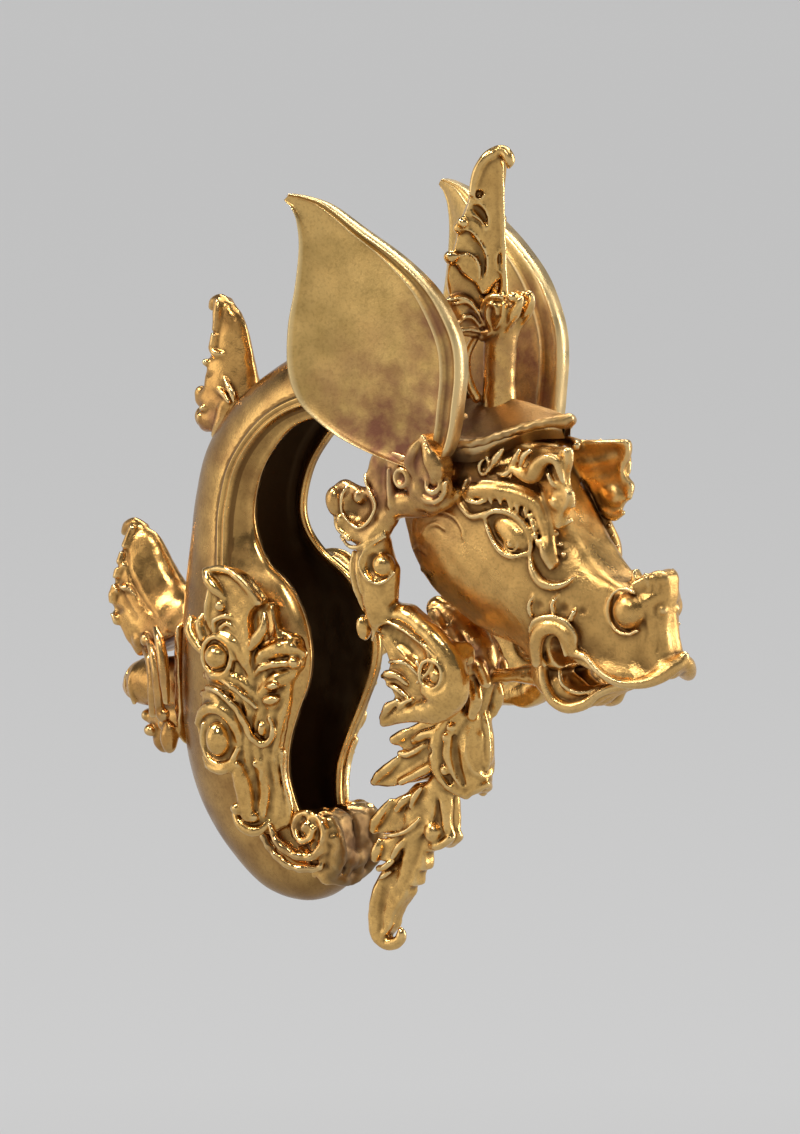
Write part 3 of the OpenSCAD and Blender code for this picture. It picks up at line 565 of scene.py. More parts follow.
def hoop_half(row, depth):
    """Half section from the rim round to the back: distance in, half width, edge mark."""
    opening, width, bead = row[4], row[5], row[7]
    widest = row[6] * depth
    rest = depth - widest
    near = np.linspace(0, widest - 0.7, 6)
    bend = np.linspace(widest - 0.6, widest + 0.8, 22)
    turn = np.linspace(math.asin(min((ROUND_START / rest) ** (1 / ROUND), 1)), math.pi / 2, 16)
    inset = np.concatenate([near, bend, widest + rest * np.sin(turn) ** ROUND])
    angle = np.arcsin(np.clip((inset - widest) / rest, 0, 1) ** (1 / ROUND))
    side = opening + (width - opening) * np.clip(inset / widest, 0, 1) ** FLARE
    half = np.where(inset < widest, side, width * np.maximum(np.cos(angle), 0) ** SQUARE)
    # Moulding: two ridges along the widest line, the rear one lower
    off = inset - widest
    ridges = np.exp(-((off + 0.2) / 0.12) ** 2) + 0.8 * np.exp(-((off - 0.2) / 0.14) ** 2)
    lip = np.exp(-(inset / 0.14) ** 2)
    half = half + bead * BEAD_HEIGHT * ridges + LIP_HEIGHT * lip
    # Painted highlight on the ridges and the lip, painted shade in the channel before them, and darker on the
    # back
    mark = 0.5 * bead * (ridges - 0.45) * (np.abs(off) < 0.6) + 0.12 * lip
    groove = 0.12 * np.exp(-((inset - 0.5 * widest) / (0.36 * widest)) ** 4)
    mark -= groove + 0.17 * np.clip((inset / depth - 0.5) / 0.3, 0, 1)
    return np.where(inset > 0, inset, -0.12), half, mark


def hoop_sections(step):
    """Outline points of each section, x, z and half width, the full C of each section, and its marks."""
    side, full, marks, inner = [], [], [], []
    for row in curve(hoop_rows, step):
        rim, back = row[0:2], row[2:4]
        depth = np.linalg.norm(back - rim)
        way = (back - rim) / depth
        inset, half, mark = hoop_half(row, depth)
        side.append(np.stack([rim[0] + way[0] * inset, rim[1] + way[1] * inset, half], 1))
        # Inside of the channel, one wall in from the outside
        room = depth - wall
        deep = np.linspace(0, 1, 20) ** 0.8 * room
        bare = np.maximum(np.interp(deep * depth / room, inset, half) - wall, 0)
        bare[-1] = 0
        outer = np.stack([inset, -half], 1)
        channel = np.stack([deep, -bare], 1)
        loop = np.vstack([outer, outer[-2::-1] * [1, -1], channel * [1, -1], channel[-2::-1]])
        full.append(np.stack([rim[0] + way[0] * loop[:, 0], loop[:, 1], rim[1] + way[1] * loop[:, 0]], 1))
        marks.append(np.concatenate([mark, mark[-2::-1], 0 * deep, 0 * deep[:-1]]))
        # Painted shade inside the channel, growing deeper further in
        inside_shade = deep / (deep + 0.5)
        inner.append(np.concatenate([0 * mark, 0 * mark[:-1], inside_shade, inside_shade[-2::-1]]))
    return np.array(side), np.array(full), np.array(marks), np.array(inner)


hoop_side, hoop_full, hoop_marks, hoop_inner = hoop_sections(10)
hoop_body = Body(hoop_side, soft=0.15)

# Head sections: top x, top z, bottom x, bottom z, then half width from top to bottom
head_rows = [
    [5.0, 0.3, 5.4, -7.6, 1.4, 2.5, 2.8, 2.6, 1.9],
    [7.8, 0.8, 7.1, -9.4, 1.8, 3.1, 3.4, 3.2, 2.0],
    [11.0, 0.4, 10.3, -11.15, 1.9, 3.3, 3.6, 3.4, 1.9],
    [13.3, -1.0, 12.6, -11.8, 1.6, 3.2, 3.6, 3.2, 1.7],
    [15.2, -3.2, 14.3, -12.5, 1.5, 2.9, 3.3, 2.9, 1.7],
    [16.8, -5.3, 15.8, -12.8, 1.45, 2.5, 2.9, 2.7, 2.2],
    [18.4, -7.1, 17.6, -12.3, 1.5, 2.1, 2.4, 2.5, 2.6],
    [20.0, -7.9, 19.3, -12.6, 1.5, 1.7, 1.85, 2.1, 2.75],
    [21.4, -8.6, 21.0, -12.9, 1.3, 1.35, 1.4, 1.7, 2.4],
    [22.1, -9.9, 22.3, -12.75, 0.8, 0.85, 0.9, 1.1, 1.6],
    [22.6, -11.1, 23.0, -12.2, 0.4, 0.4, 0.4, 0.45, 0.6]]


# Points across a section, and steps from one given half width to the next
ACROSS, WIDTH_STEPS = 90, 30


def side_sections(table, spans):
    """Sections of a symmetric body from rows of start x, z, end x, z and half widths from start to end."""
    out = []
    for r in curve(table, spans):
        parts = np.linspace(0, 1, ACROSS)
        width = curve(r[4:, None], WIDTH_STEPS)[:, 0]
        w = np.interp(parts, np.linspace(0, 1, len(width)), width)
        out.append(np.stack([r[0] + (r[2] - r[0]) * parts, r[1] + (r[3] - r[1]) * parts, w], 1))
    return np.array(out)


head_body = Body(side_sections(head_rows, 12), soft=0.55)

# Flames on the back of the hoop, bottom to top: front edge x, z, rear edge x, z, then half widths between
back_flame_rows = [
    [-12.3, -13.4, -16.3, -15.4, 1.5, 2.0, 2.1, 1.7],
    [-12.9, -12.0, -17.3, -14.1, 0.9, 1.7, 2.1, 1.9],
    [-13.9, -11.2, -17.95, -12.6, 0.5, 1.35, 1.85, 1.8],
    [-14.8, -10.2, -18.1, -11.0, 0.4, 1.05, 1.5, 1.5],
    [-15.5, -9.2, -18.05, -9.8, 0.35, 0.8, 1.15, 1.2],
    [-16.2, -8.35, -17.95, -9.0, 0.3, 0.6, 0.8, 0.8],
    [-17.1, -7.95, -18.0, -8.5, 0.25, 0.4, 0.5, 0.5]]
shoulder_rows = [
    [-8.0, -0.6, -11.4, -1.2, 0.9, 1.3, 1.4, 1.2],
    [-8.15, 0.6, -11.5, 0.5, 0.5, 1.1, 1.3, 1.2],
    [-8.5, 2.1, -11.35, 1.8, 0.35, 0.9, 1.15, 1.05],
    [-8.8, 3.3, -11.1, 2.9, 0.3, 0.75, 0.95, 0.85],
    [-9.1, 4.2, -10.95, 3.9, 0.3, 0.6, 0.75, 0.7],
    [-9.5, 4.9, -10.95, 4.8, 0.3, 0.5, 0.6, 0.55],
    [-10.1, 5.5, -10.95, 5.4, 0.25, 0.4, 0.4, 0.35]]


# Pieces

def hoop_end():
    """Block with a plate and short bars at the end of the hoop."""
    end = Clay([-8.0, -3.9, -28.2], [1.2, 0, -21.4], mirrored=True)
    end.add(
        Stroke([[-4.4, -3.1, -23.7, 0.2], [-3.8, -3.1, -24.6, 0.24], [-2.7, -2.9, -25.2, 0.26],
                [-1.7, -2.6, -25.2, 0.26], [-1.1, -2.4, -24.6, 0.25], [-0.95, -2.3, -23.8, 0.24],
                [-1.5, -2.2, -23.1, 0.24], [-2.3, -2.2, -22.85, 0.24], [-3.0, -2.3, -23.1, 0.24],
                [-3.15, -2.4, -23.8, 0.24], [-2.6, -2.5, -24.4, 0.24], [-1.9, -2.45, -24.2, 0.22],
                [-1.7, -2.4, -23.7, 0.2]]),
        Stroke([[-5.2, -3.15, -23.7, 0.16], [-4.8, -3.25, -24.3, 0.2], [-4.1, -3.1, -25.2, 0.22],
                [-3.1, -2.9, -25.85, 0.22], [-2.0, -2.6, -25.95, 0.22], [-1.3, -2.3, -25.8, 0.2]]),
        Knob(-2.2, -2.35, -23.6, 0.42, 0.4),
        Plate([[-4.0, -23.4], [-3.0, -22.8], [-1.6, -22.8], [-0.8, -23.6], [-0.8, -24.8], [-1.4, -25.8],
               [-2.8, -25.6], [-3.8, -24.6]], -2.3, -1.2, 0.2),
        Stroke([[-1.0, -1.7, -23.3, 0.4], [-0.6, -1.7, -24.4, 0.5], [-0.8, -1.5, -25.6, 0.5],
                [-1.6, -1.4, -26.5, 0.45]]),
        Stroke([[-1.3, -1.4, -25.2, 0.5], [-0.9, -0.6, -25.4, 0.55], [-1.0, 0, -25.6, 0.6]]),
        Stroke([[-1.4, -1.4, -26.3, 0.45], [-1.3, -0.6, -26.6, 0.5], [-1.4, 0, -26.7, 0.5]]),
        Stroke([[-1.5, -1.4, -24.2, 0.4], [-1.3, -0.6, -24.3, 0.45], [-1.2, 0, -24.4, 0.4]]),
        Plate([[-2.4, -22.9], [-1.2, -22.9], [-0.75, -23.4], [-0.6, -24.6], [-0.85, -25.7], [-1.5, -26.5],
               [-2.6, -26.4]], -2.0, 0, 0.45), Knob(-0.7, -1.0, -24.9, 0.35), Knob(-0.9, -0.5, -26.1, 0.3),
        blend=0.14)
    end.roughen(0.06, 0.9)
    return end.skin()


def hoop():
    verts, quads = loft(hoop_full)
    marks = np.stack([hoop_marks.ravel(), 0.25 + 0 * hoop_marks.ravel()], 1)
    block = hoop_end()
    x, y, _ = block[0].T
    # The broken end of the block gets painted shade, like the inside of the channel
    broken = np.clip((x + 1.7) / 0.6, 0, 1) * np.clip((2.2 - np.abs(y)) / 0.4, 0, 1)
    inside = np.concatenate([hoop_inner.ravel(), 0.6 * broken])
    return make("hoop_ring", *joined((verts, quads, marks), block), "hoop", inside)


def lips(clay):
    """Lower jaw, mouth and upper lip."""
    # Lower jaw, a trough with a rolled edge
    clay.add(
        Stroke([[14.0, -0.7, -12.3, 0.7], [14.5, -0.8, -13.4, 0.95], [15.8, -0.8, -14.0, 0.95],
                [17.0, -0.6, -14.3, 0.66], [18.2, -0.4, -13.9, 0.4], [19.4, -0.2, -13.5, 0.3]]), blend=0.4)
    # Hollows of the bill, and the mouth between the lips
    clay.cut(Knob(20.6, -2.9, -11.5, 1.9, 0.75, 1.0, -12), Knob(22.4, -1.7, -11.6, 0.9, 0.6, 0.7, -20),
             blend=0.5)
    clay.cut(Slot([[16.3, -11.6, 0.3], [16.9, -12.2, 0.5], [18.0, -12.75, 0.5], [19.2, -13.05, 0.36],
                   [21.6, -13.8, 0.4]], -4.5, 0), blend=0.15)
    clay.cut(Knob(16.6, -2.4, -11.7, 0.62, 1.2, 0.9, 15), Knob(16.9, -1.2, -13.2, 0.9, 0.75, 0.66, -10),
             blend=0.2)
    clay.add(
        Stroke([[14.9, -1.9, -12.7, 0.24], [15.15, -2.0, -13.6, 0.3], [15.7, -1.9, -14.5, 0.32],
                [16.6, -1.7, -14.85, 0.32], [17.5, -1.4, -14.6, 0.3], [18.2, -1.1, -14.0, 0.24],
                [18.9, -0.7, -13.6, 0.26], [19.7, -0.3, -13.4, 0.26]]),
        Stroke([[16.0, -1.7, -12.9, 0.12], [16.2, -1.75, -13.5, 0.14], [16.8, -1.5, -13.95, 0.14],
                [17.5, -1.3, -13.95, 0.13], [18.1, -1.0, -13.7, 0.12]]), blend=0.1)
    # Upper lip: rolled edge, wide and turned up at the front
    clay.add(
        Stroke([[17.7, -2.65, -11.6, 0.24], [18.4, -2.75, -11.6, 0.24], [19.0, -2.85, -11.8, 0.2],
                [19.6, -2.85, -12.25, 0.2], [20.4, -2.75, -12.7, 0.22], [21.3, -2.45, -12.95, 0.24],
                [22.2, -1.85, -12.85, 0.32], [22.85, -1.2, -12.5, 0.36], [23.25, -0.6, -12.05, 0.36],
                [23.4, -0.1, -11.7, 0.3], [23.45, 0, -11.5, 0.24]]),
        Stroke([[22.6, 0, -12.4, 0.4], [23.2, 0, -11.9, 0.32], [23.5, 0, -11.45, 0.2]]), blend=0.16)


def mouth_curl(clay, skin):
    """Curl at the corner of the mouth: a band between raised lines, with three scooped thorns."""
    clay.add(
        Stroke([[15.2, -2.7, -12.3, 0.34], [15.35, -2.95, -11.3, 0.42], [15.8, -3.05, -10.5, 0.44],
                [16.7, -3.0, -10.2, 0.44], [17.5, -2.85, -10.6, 0.42], [17.8, -2.75, -11.4, 0.3]]),
        blend=0.1)
    clay.add(
        skin.lay([[15.05, -12.0, 0.2, 0.11], [15.0, -11.0, 0.34, 0.14], [15.35, -10.15, 0.38, 0.15],
                  [16.1, -9.72, 0.38, 0.15], [16.9, -9.66, 0.38, 0.15], [17.6, -9.95, 0.38, 0.15],
                  [18.05, -10.6, 0.36, 0.14], [18.0, -11.4, 0.28, 0.14]]),
        skin.lay([[15.55, -12.5, 0.2, 0.14], [15.35, -11.7, 0.32, 0.12], [15.6, -10.8, 0.46, 0.12],
                  [16.2, -10.3, 0.52, 0.12], [16.9, -10.35, 0.5, 0.12], [17.25, -10.9, 0.44, 0.12],
                  [17.45, -11.7, 0.34, 0.12]]), blend=0.06)
    thorns = [
        ((15.15, -9.7), (15.4, -8.55), (15.95, -9.5)), ((16.6, -9.45), (16.8, -8.45), (17.5, -9.6)),
        ((17.6, -9.75), (18.2, -9.05), (18.25, -9.2))]
    for foot, tip, end in thorns:
        bend = ((foot[0] + tip[0]) / 2 - 0.16, (foot[1] + tip[1]) / 2)
        clay.add(skin.lay([[*foot, 0.1, 0.16], [*bend, 0.14, 0.13], [*tip, 0.04, 0.06]]), blend=0.06)
        clay.cut(skin.knob((tip[0] + end[0]) / 2 + 0.05, (tip[1] + end[1]) / 2 - 0.1, 0.2, 0.42, 0.3, 0.4),
                 blend=0.1)


def eye(clay, skin):
    """Eye: ball between lids, pupil in a ring."""
    clay.cut(skin.knob(13.75, -5.3, 0.2, 1.55, 0.4, 0.85, -32), blend=0.08)
    clay.add(skin.knob(13.72, -5.3, -0.36, 1.4, 0.62, 0.8, -32), blend=0.04)
    clay.add(
        skin.lay([[12.2, -4.65, 0.06, 0.1], [12.6, -4.2, 0.16, 0.17], [13.3, -4.08, 0.2, 0.2],
                  [13.9, -4.25, 0.2, 0.2], [14.55, -4.75, 0.18, 0.2], [14.98, -5.4, 0.16, 0.2],
                  [15.1, -6.0, 0.12, 0.17], [15.0, -6.3, 0.08, 0.1]]),
        skin.lay([[12.2, -4.65, 0.04, 0.09], [12.55, -5.3, 0.08, 0.13], [13.15, -6.1, 0.1, 0.15],
                  [13.75, -6.48, 0.1, 0.15], [14.3, -6.5, 0.1, 0.14], [15.05, -6.25, 0.08, 0.12]]),
        blend=0.05)
    clay.add(skin.knob(14.0, -5.82, 0.1, 0.27, 0.27), blend=0.03)
    pupil = skin.knob(14.02, -5.8, 0.12, 0.3).middle
    clay.add(coil(*pupil, 0.45, 0.45, 0, 360, 0.09, 0.09), blend=0.03)


def eyebrow(clay, skin):
    """Fold behind the eye, then the brow: a smooth bar with a toothed lower edge, a looped end."""
    clay.add(skin.lay([[9.9, -3.3, 0.0, 0.14], [10.5, -4.0, 0.08, 0.2], [11.2, -4.5, 0.1, 0.2],
                       [11.9, -4.45, 0.12, 0.17], [12.3, -4.25, 0.1, 0.12]]), blend=0.1)
    clay.add(
        skin.lay([[11.3, -3.15, 0.16, 0.42], [12.4, -3.08, 0.2, 0.45], [13.3, -3.12, 0.24, 0.48],
                  [14.1, -3.35, 0.26, 0.5], [14.9, -3.8, 0.26, 0.5], [15.4, -4.6, 0.24, 0.44],
                  [15.8, -5.4, 0.22, 0.42], [16.05, -6.2, 0.2, 0.44], [16.3, -6.7, 0.14, 0.34]]), blend=0.1)
    clay.add(
        skin.lay([[10.75, -2.6, 0.1, 0.12], [10.65, -3.1, 0.22, 0.15], [11.1, -3.6, 0.3, 0.16],
                  [11.8, -3.72, 0.34, 0.15], [12.2, -3.6, 0.36, 0.13]]),
        skin.lay([[11.8, -2.62, 0.4, 0.13], [12.6, -2.58, 0.5, 0.15], [13.4, -2.62, 0.56, 0.15],
                  [14.2, -2.85, 0.6, 0.15], [14.9, -3.2, 0.62, 0.14], [15.5, -3.75, 0.6, 0.13],
                  [15.85, -4.5, 0.56, 0.12]]), blend=0.07)
    teeth = [
        (12.3, -3.5, 0.17), (12.65, -3.58, 0.19), (13.2, -3.64, 0.2), (13.75, -3.8, 0.2),
        (14.15, -4.02, 0.17), (14.6, -4.28, 0.19), (14.9, -4.6, 0.15), (15.1, -4.9, 0.15),
        (15.25, -5.2, 0.14), (15.4, -5.6, 0.16), (15.6, -5.95, 0.15)]
    for x, z, r in teeth:
        clay.add(
            skin.lay([[x - 0.08, z + 0.3, 0.42, 0.16], [x + 0.02, z - 0.08, 0.26, r * 0.62]]), blend=0.04)
    clay.add(
        skin.lay([[15.75, -5.6, 0.5, 0.2], [16.05, -6.3, 0.48, 0.3], [16.35, -6.95, 0.34, 0.2]]),
        skin.knob(16.2, -5.2, 0.42, 0.16), skin.knob(16.5, -5.75, 0.34, 0.15),
        skin.knob(16.75, -6.3, 0.28, 0.17), skin.knob(16.0, -5.0, 0.5, 0.14), blend=0.07)


def cheek(clay, skin):
    """Crescent under the eye, and engraved arcs."""
    # Crescent under the front corner of the eye
    clay.add(
        skin.lay([[15.1, -6.5, 0.06, 0.12], [15.35, -7.2, 0.14, 0.24], [15.85, -7.8, 0.2, 0.27],
                  [16.5, -8.0, 0.22, 0.25], [17.1, -7.85, 0.18, 0.18], [17.45, -7.5, 0.1, 0.1]]),
        blend=0.06)
    clay.cut(skin.lay([[15.6, -7.0, 0.36, 0.06], [16.0, -7.5, 0.48, 0.08], [16.6, -7.62, 0.5, 0.08],
                       [17.2, -7.5, 0.38, 0.06]]), blend=0.05)
    # Engraved arcs on the cheek and along the back edge
    arcs = [
        [[6.4, -6.2], [6.6, -5.3], [7.6, -4.75], [8.8, -4.6], [9.9, -4.9], [10.5, -5.5], [10.6, -6.0]],
        [[7.4, -6.1], [7.8, -5.65], [8.5, -5.4], [9.2, -5.6]], [[6.1, -7.2], [6.8, -6.9], [7.4, -7.1]],
        [[6.3, -8.3], [6.9, -7.9], [7.4, -8.1]]]
    for rows in arcs:
        clay.cut(skin.lay([[x, z, 0.0, 0.08] for x, z in rows]), blend=0.05)
        clay.add(skin.lay([[x + 0.05, z + 0.17, -0.04, 0.11] for x, z in rows]), blend=0.09)


def snout(clay):
    """Front of the muzzle, and the nostrils."""
    # Snout: broad front plate with flutes on its upper edge
    clay.add(
        Plate([[19.9, -7.1], [20.4, -7.45], [21.2, -7.2], [21.8, -7.05], [22.3, -7.15], [22.5, -7.5],
               [22.45, -8.4], [22.55, -9.0], [22.4, -10.0], [22.5, -10.9], [21.5, -11.4], [20.2, -10.5]],
              -0.35, 0.3, 0.25), blend=0.3)
    clay.add(
        Stroke([[22.25, 0, -7.4, 0.28], [22.1, -0.5, -7.35, 0.32], [21.7, -1.0, -7.4, 0.34],
                [21.1, -1.35, -7.7, 0.3]]),
        Stroke([[22.2, -0.2, -8.3, 0.3], [21.9, -0.9, -8.4, 0.36], [21.5, -1.4, -8.8, 0.3]]),
        Plate([[19.4, -9.6], [21.6, -9.2], [22.3, -9.6], [22.35, -10.6], [22.6, -11.3], [22.9, -12.0],
               [21.6, -12.6], [19.4, -12.4]], -1.1, 0, 0.85), blend=0.5)
    for y, x in ((-0.15, 22.4), (-0.5, 22.3), (-0.85, 22.1), (-1.15, 21.8)):
        clay.add(Stroke([[x - 0.15, y, -7.1, 0.15], [x + 0.06, y - 0.02, -7.6, 0.14],
                         [x - 0.02, y * 0.9, -8.3, 0.1]]), blend=0.06)
    clay.add(Knob(22.35, -0.55, -9.0, 0.26), blend=0.1)
    # Ripples where the side of the muzzle turns into its front
    for x, y, low in ((21.8, -1.34, -10.7), (22.38, -0.98, -11.2)):
        clay.cut(Stroke([[x - 0.1, y, -9.6, 0.05], [x + 0.1, y, -10.2, 0.12],
                         [x + 0.02, y - 0.05, low, 0.05]]), blend=0.16)
    # Nostril: large ball in a crater with a thin ring
    clay.cut(Knob(20.75, -1.9, -9.1, 1.28, 0.55, 1.3), blend=0.12)
    clay.add(Knob(20.85, -1.45, -9.1, 0.98, 0.92, 1.0), blend=0.04)
    clay.add(coil(20.75, -1.78, -9.1, 1.27, 1.27, 60, 250, 0.12, 0.12), blend=0.07)


def bridge_flames(clay):
    """Flames that stand along the edges of the bridge: the lobes lean outwards."""
    flame = Panel(
        (14.0, -1.85), (0.965, -0.26),
        [[-0.2, -1.8], [0.1, -0.8], [0.9, -0.55], [1.9, -0.55], [2.9, -0.4], [3.45, -0.45], [3.5, -1.2],
         [3.15, -2.0], [3.3, -2.4], [3.7, -2.9], [3.5, -3.6], [3.1, -4.0], [2.7, -4.9], [1.9, -4.6],
         [1.2, -3.4], [0.4, -2.4]], -0.5, 0.05, bow=0.08)
    clay.add(flame, blend=0.15)
    clay.cut(
        flame.lay([[0.4, -1.4, -0.9, 0.3], [1.5, -1.3, -0.95, 0.45], [2.6, -1.0, -0.85, 0.3]]),
        flame.lay([[1.0, -2.4, -0.9, 0.3], [1.9, -2.2, -0.9, 0.4], [2.7, -2.0, -0.85, 0.25]]),
        flame.lay([[1.7, -3.6, -0.85, 0.25], [2.4, -3.3, -0.9, 0.36], [3.2, -3.1, -0.85, 0.25]]),
        blend=0.25)
    clay.add(
        flame.lay([[0.3, -0.8, -0.5, 0.12], [1.4, -0.65, -0.5, 0.16], [2.6, -0.55, -0.5, 0.16],
                   [3.3, -0.6, -0.5, 0.14]]),
        flame.lay([[3.35, -1.0, -0.5, 0.12], [3.0, -1.9, -0.5, 0.16], [3.1, -2.6, -0.5, 0.12]]), blend=0.1)
    # On the outer face: a wave that hooks over, three leaflets, a bud with a rolled tip
    clay.add(
        Stroke([[13.5, -2.9, -1.75, 0.2], [14.2, -2.85, -2.0, 0.34], [14.9, -2.8, -2.05, 0.48],
                [15.3, -2.85, -1.65, 0.5], [15.6, -2.9, -1.3, 0.42], [16.2, -2.95, -1.0, 0.32],
                [16.75, -2.9, -1.1, 0.28], [16.95, -2.85, -1.6, 0.22], [17.1, -2.75, -2.2, 0.14]]),
        blend=0.06)
    clay.add(
        Stroke([[14.2, -2.9, -1.5, 0.16], [14.5, -2.95, -1.0, 0.2], [14.9, -2.95, -0.7, 0.14]]),
        Stroke([[16.1, -2.8, -1.9, 0.16], [16.4, -2.7, -2.4, 0.2], [16.8, -2.6, -2.5, 0.14]]),
        Stroke([[11.6, -3.2, -2.3, 0.12], [11.4, -3.2, -1.8, 0.12], [11.8, -3.1, -1.25, 0.12],
                [12.05, -3.1, -1.6, 0.12], [11.95, -3.15, -2.1, 0.12], [11.6, -3.2, -2.3, 0.12]]),
        Stroke([[12.1, -3.1, -1.95, 0.13], [12.55, -3.1, -1.35, 0.24], [13.0, -3.0, -0.75, 0.1]]),
        Stroke([[12.6, -3.0, -2.12, 0.14], [13.1, -3.0, -2.15, 0.2], [13.55, -2.95, -1.85, 0.13]]),
        Stroke([[13.4, -2.8, -1.7, 0.2], [13.75, -2.8, -1.25, 0.26], [14.0, -2.8, -0.75, 0.12]]),
        blend=0.05)
    clay.add(
        Knob(16.3, -2.15, -3.5, 0.85, 0.42, 0.7, -15), Knob(16.45, -2.5, -3.45, 0.55, 0.4, 0.42, -15),
        Stroke([[15.9, -2.3, -3.0, 0.2], [16.7, -2.5, -2.95, 0.24], [17.35, -2.45, -3.15, 0.24],
                [17.5, -2.4, -3.55, 0.16]]),
        Stroke([[16.1, -2.1, -4.4, 0.3], [16.7, -2.25, -4.55, 0.26], [17.2, -2.2, -4.4, 0.16]]), blend=0.08)
    clay.add(
        Stroke([[13.0, -1.6, -0.6, 0.3], [14.2, -1.5, -0.7, 0.3], [14.9, -0.9, -0.75, 0.3]]), blend=0.2)


def head():
    clay = Clay([4.6, -5.0, -15.8], [24.4, 0, 2.2], step=HEAD_STEP, mirrored=True)
    clay.add(head_body)
    lips(clay)
    mouth_curl(clay, head_body)
    eye(clay, head_body)
    eyebrow(clay, head_body)
    cheek(clay, head_body)
    snout(clay)
    bridge_flames(clay)
    clay.roughen(0.022, 1.7)
    return make("animal_head", *clay.skin(), "head")


# Ear: rear x, rear z, front x, front z up the leaf
ear_rows = [
    [7.6, -2.0, 9.8, -1.6], [5.7, -1.45, 10.4, -0.8], [3.9, -0.77, 10.75, 0.4], [2.5, 0.0, 10.9, 1.5],
    [1.05, 1.2, 11.1, 3.3], [0.35, 2.9, 10.95, 5.0], [0.35, 5.3, 10.2, 6.65], [0.8, 7.6, 9.1, 8.1],
    [1.05, 9.8, 7.2, 9.6], [0.9, 11.2, 5.0, 10.9], [0.5, 11.95, 2.8, 12.2], [0.2, 12.2, 1.3, 12.62],
    [0.0, 12.38, 0.35, 12.72]]
ear_thick = 0.36
ear_root_y, ear_lean = -6.5, math.radians(12)
ear_dish = 0.5
# Below this width the rim shrinks with the leaf
ear_full_width = 4.5
# Across the ear: distance from the front edge, lift of the face, edge mark, which paints a highlight above
# zero and shade below it
ear_flange = [
    [1.75, 0.0, 0.0], [1.55, 0.06, 0.1], [1.42, 0.3, 0.7], [1.3, 0.42, 1.0], [1.17, 0.32, 0.4],
    [1.0, 0.16, -0.4], [0.75, 0.12, -0.2], [0.5, 0.2, 0.0], [0.28, 0.42, 0.5], [0.14, 0.55, 1.0],
    [0.0, 0.5, 0.9]]


def ears():
    outer, inner, edge = [], [], []
    for rx, rz, fx, fz in curve(ear_rows, 9):
        rear, front = np.array([rx, rz]), np.array([fx, fz])
        width = np.linalg.norm(front - rear)
        shrink = min(1.0, width / ear_full_width)
        flange = [[1 - d * shrink / width, lift * max(shrink, 0.35), mark] for d, lift, mark in ear_flange]
        dish = [[part, 0.0, 0.0] for part in np.linspace(0.08, 1, 12)[:-1] * flange[0][0]]
        # The rim's edge mark paints a highlight along the rear edge
        rim = [[0.0, 0.18 * shrink, 0.8], [0.012, 0.2 * shrink, 0.9], [0.035, 0.06, 0.1]]
        part, lift, mark = np.array(rim + dish + flange).T
        bulge = np.sin(math.pi * np.clip(part, 0, 1))
        hollow = -ear_dish * shrink * bulge ** 0.8
        spot = rear + np.outer(part, front - rear)
        base = ear_root_y + (spot[:, 0] + 0.3) * math.tan(ear_lean)
        thick = ear_thick * (0.75 + 0.25 * bulge)
        outer.append(np.stack([spot[:, 0], base - (hollow + lift) - thick / 2, spot[:, 1]], 1))
        inside = hollow - 0.6 * np.minimum(lift, 0.3)
        inner.append(np.stack([spot[:, 0], base - inside + thick / 2, spot[:, 1]], 1))
        edge.append(mark * 0.5)
    outer, inner, edge = np.array(outer), np.array(inner), np.array(edge)
    verts, quads = loft(np.concatenate([outer, inner[:, ::-1]], axis=1), flip=True)
    mark = np.concatenate([edge, edge[:, ::-1]], axis=1).ravel()
    return both_sides("ear_leaf", verts, quads, np.stack([mark, 0.2 + 0 * mark], 1), "ear")


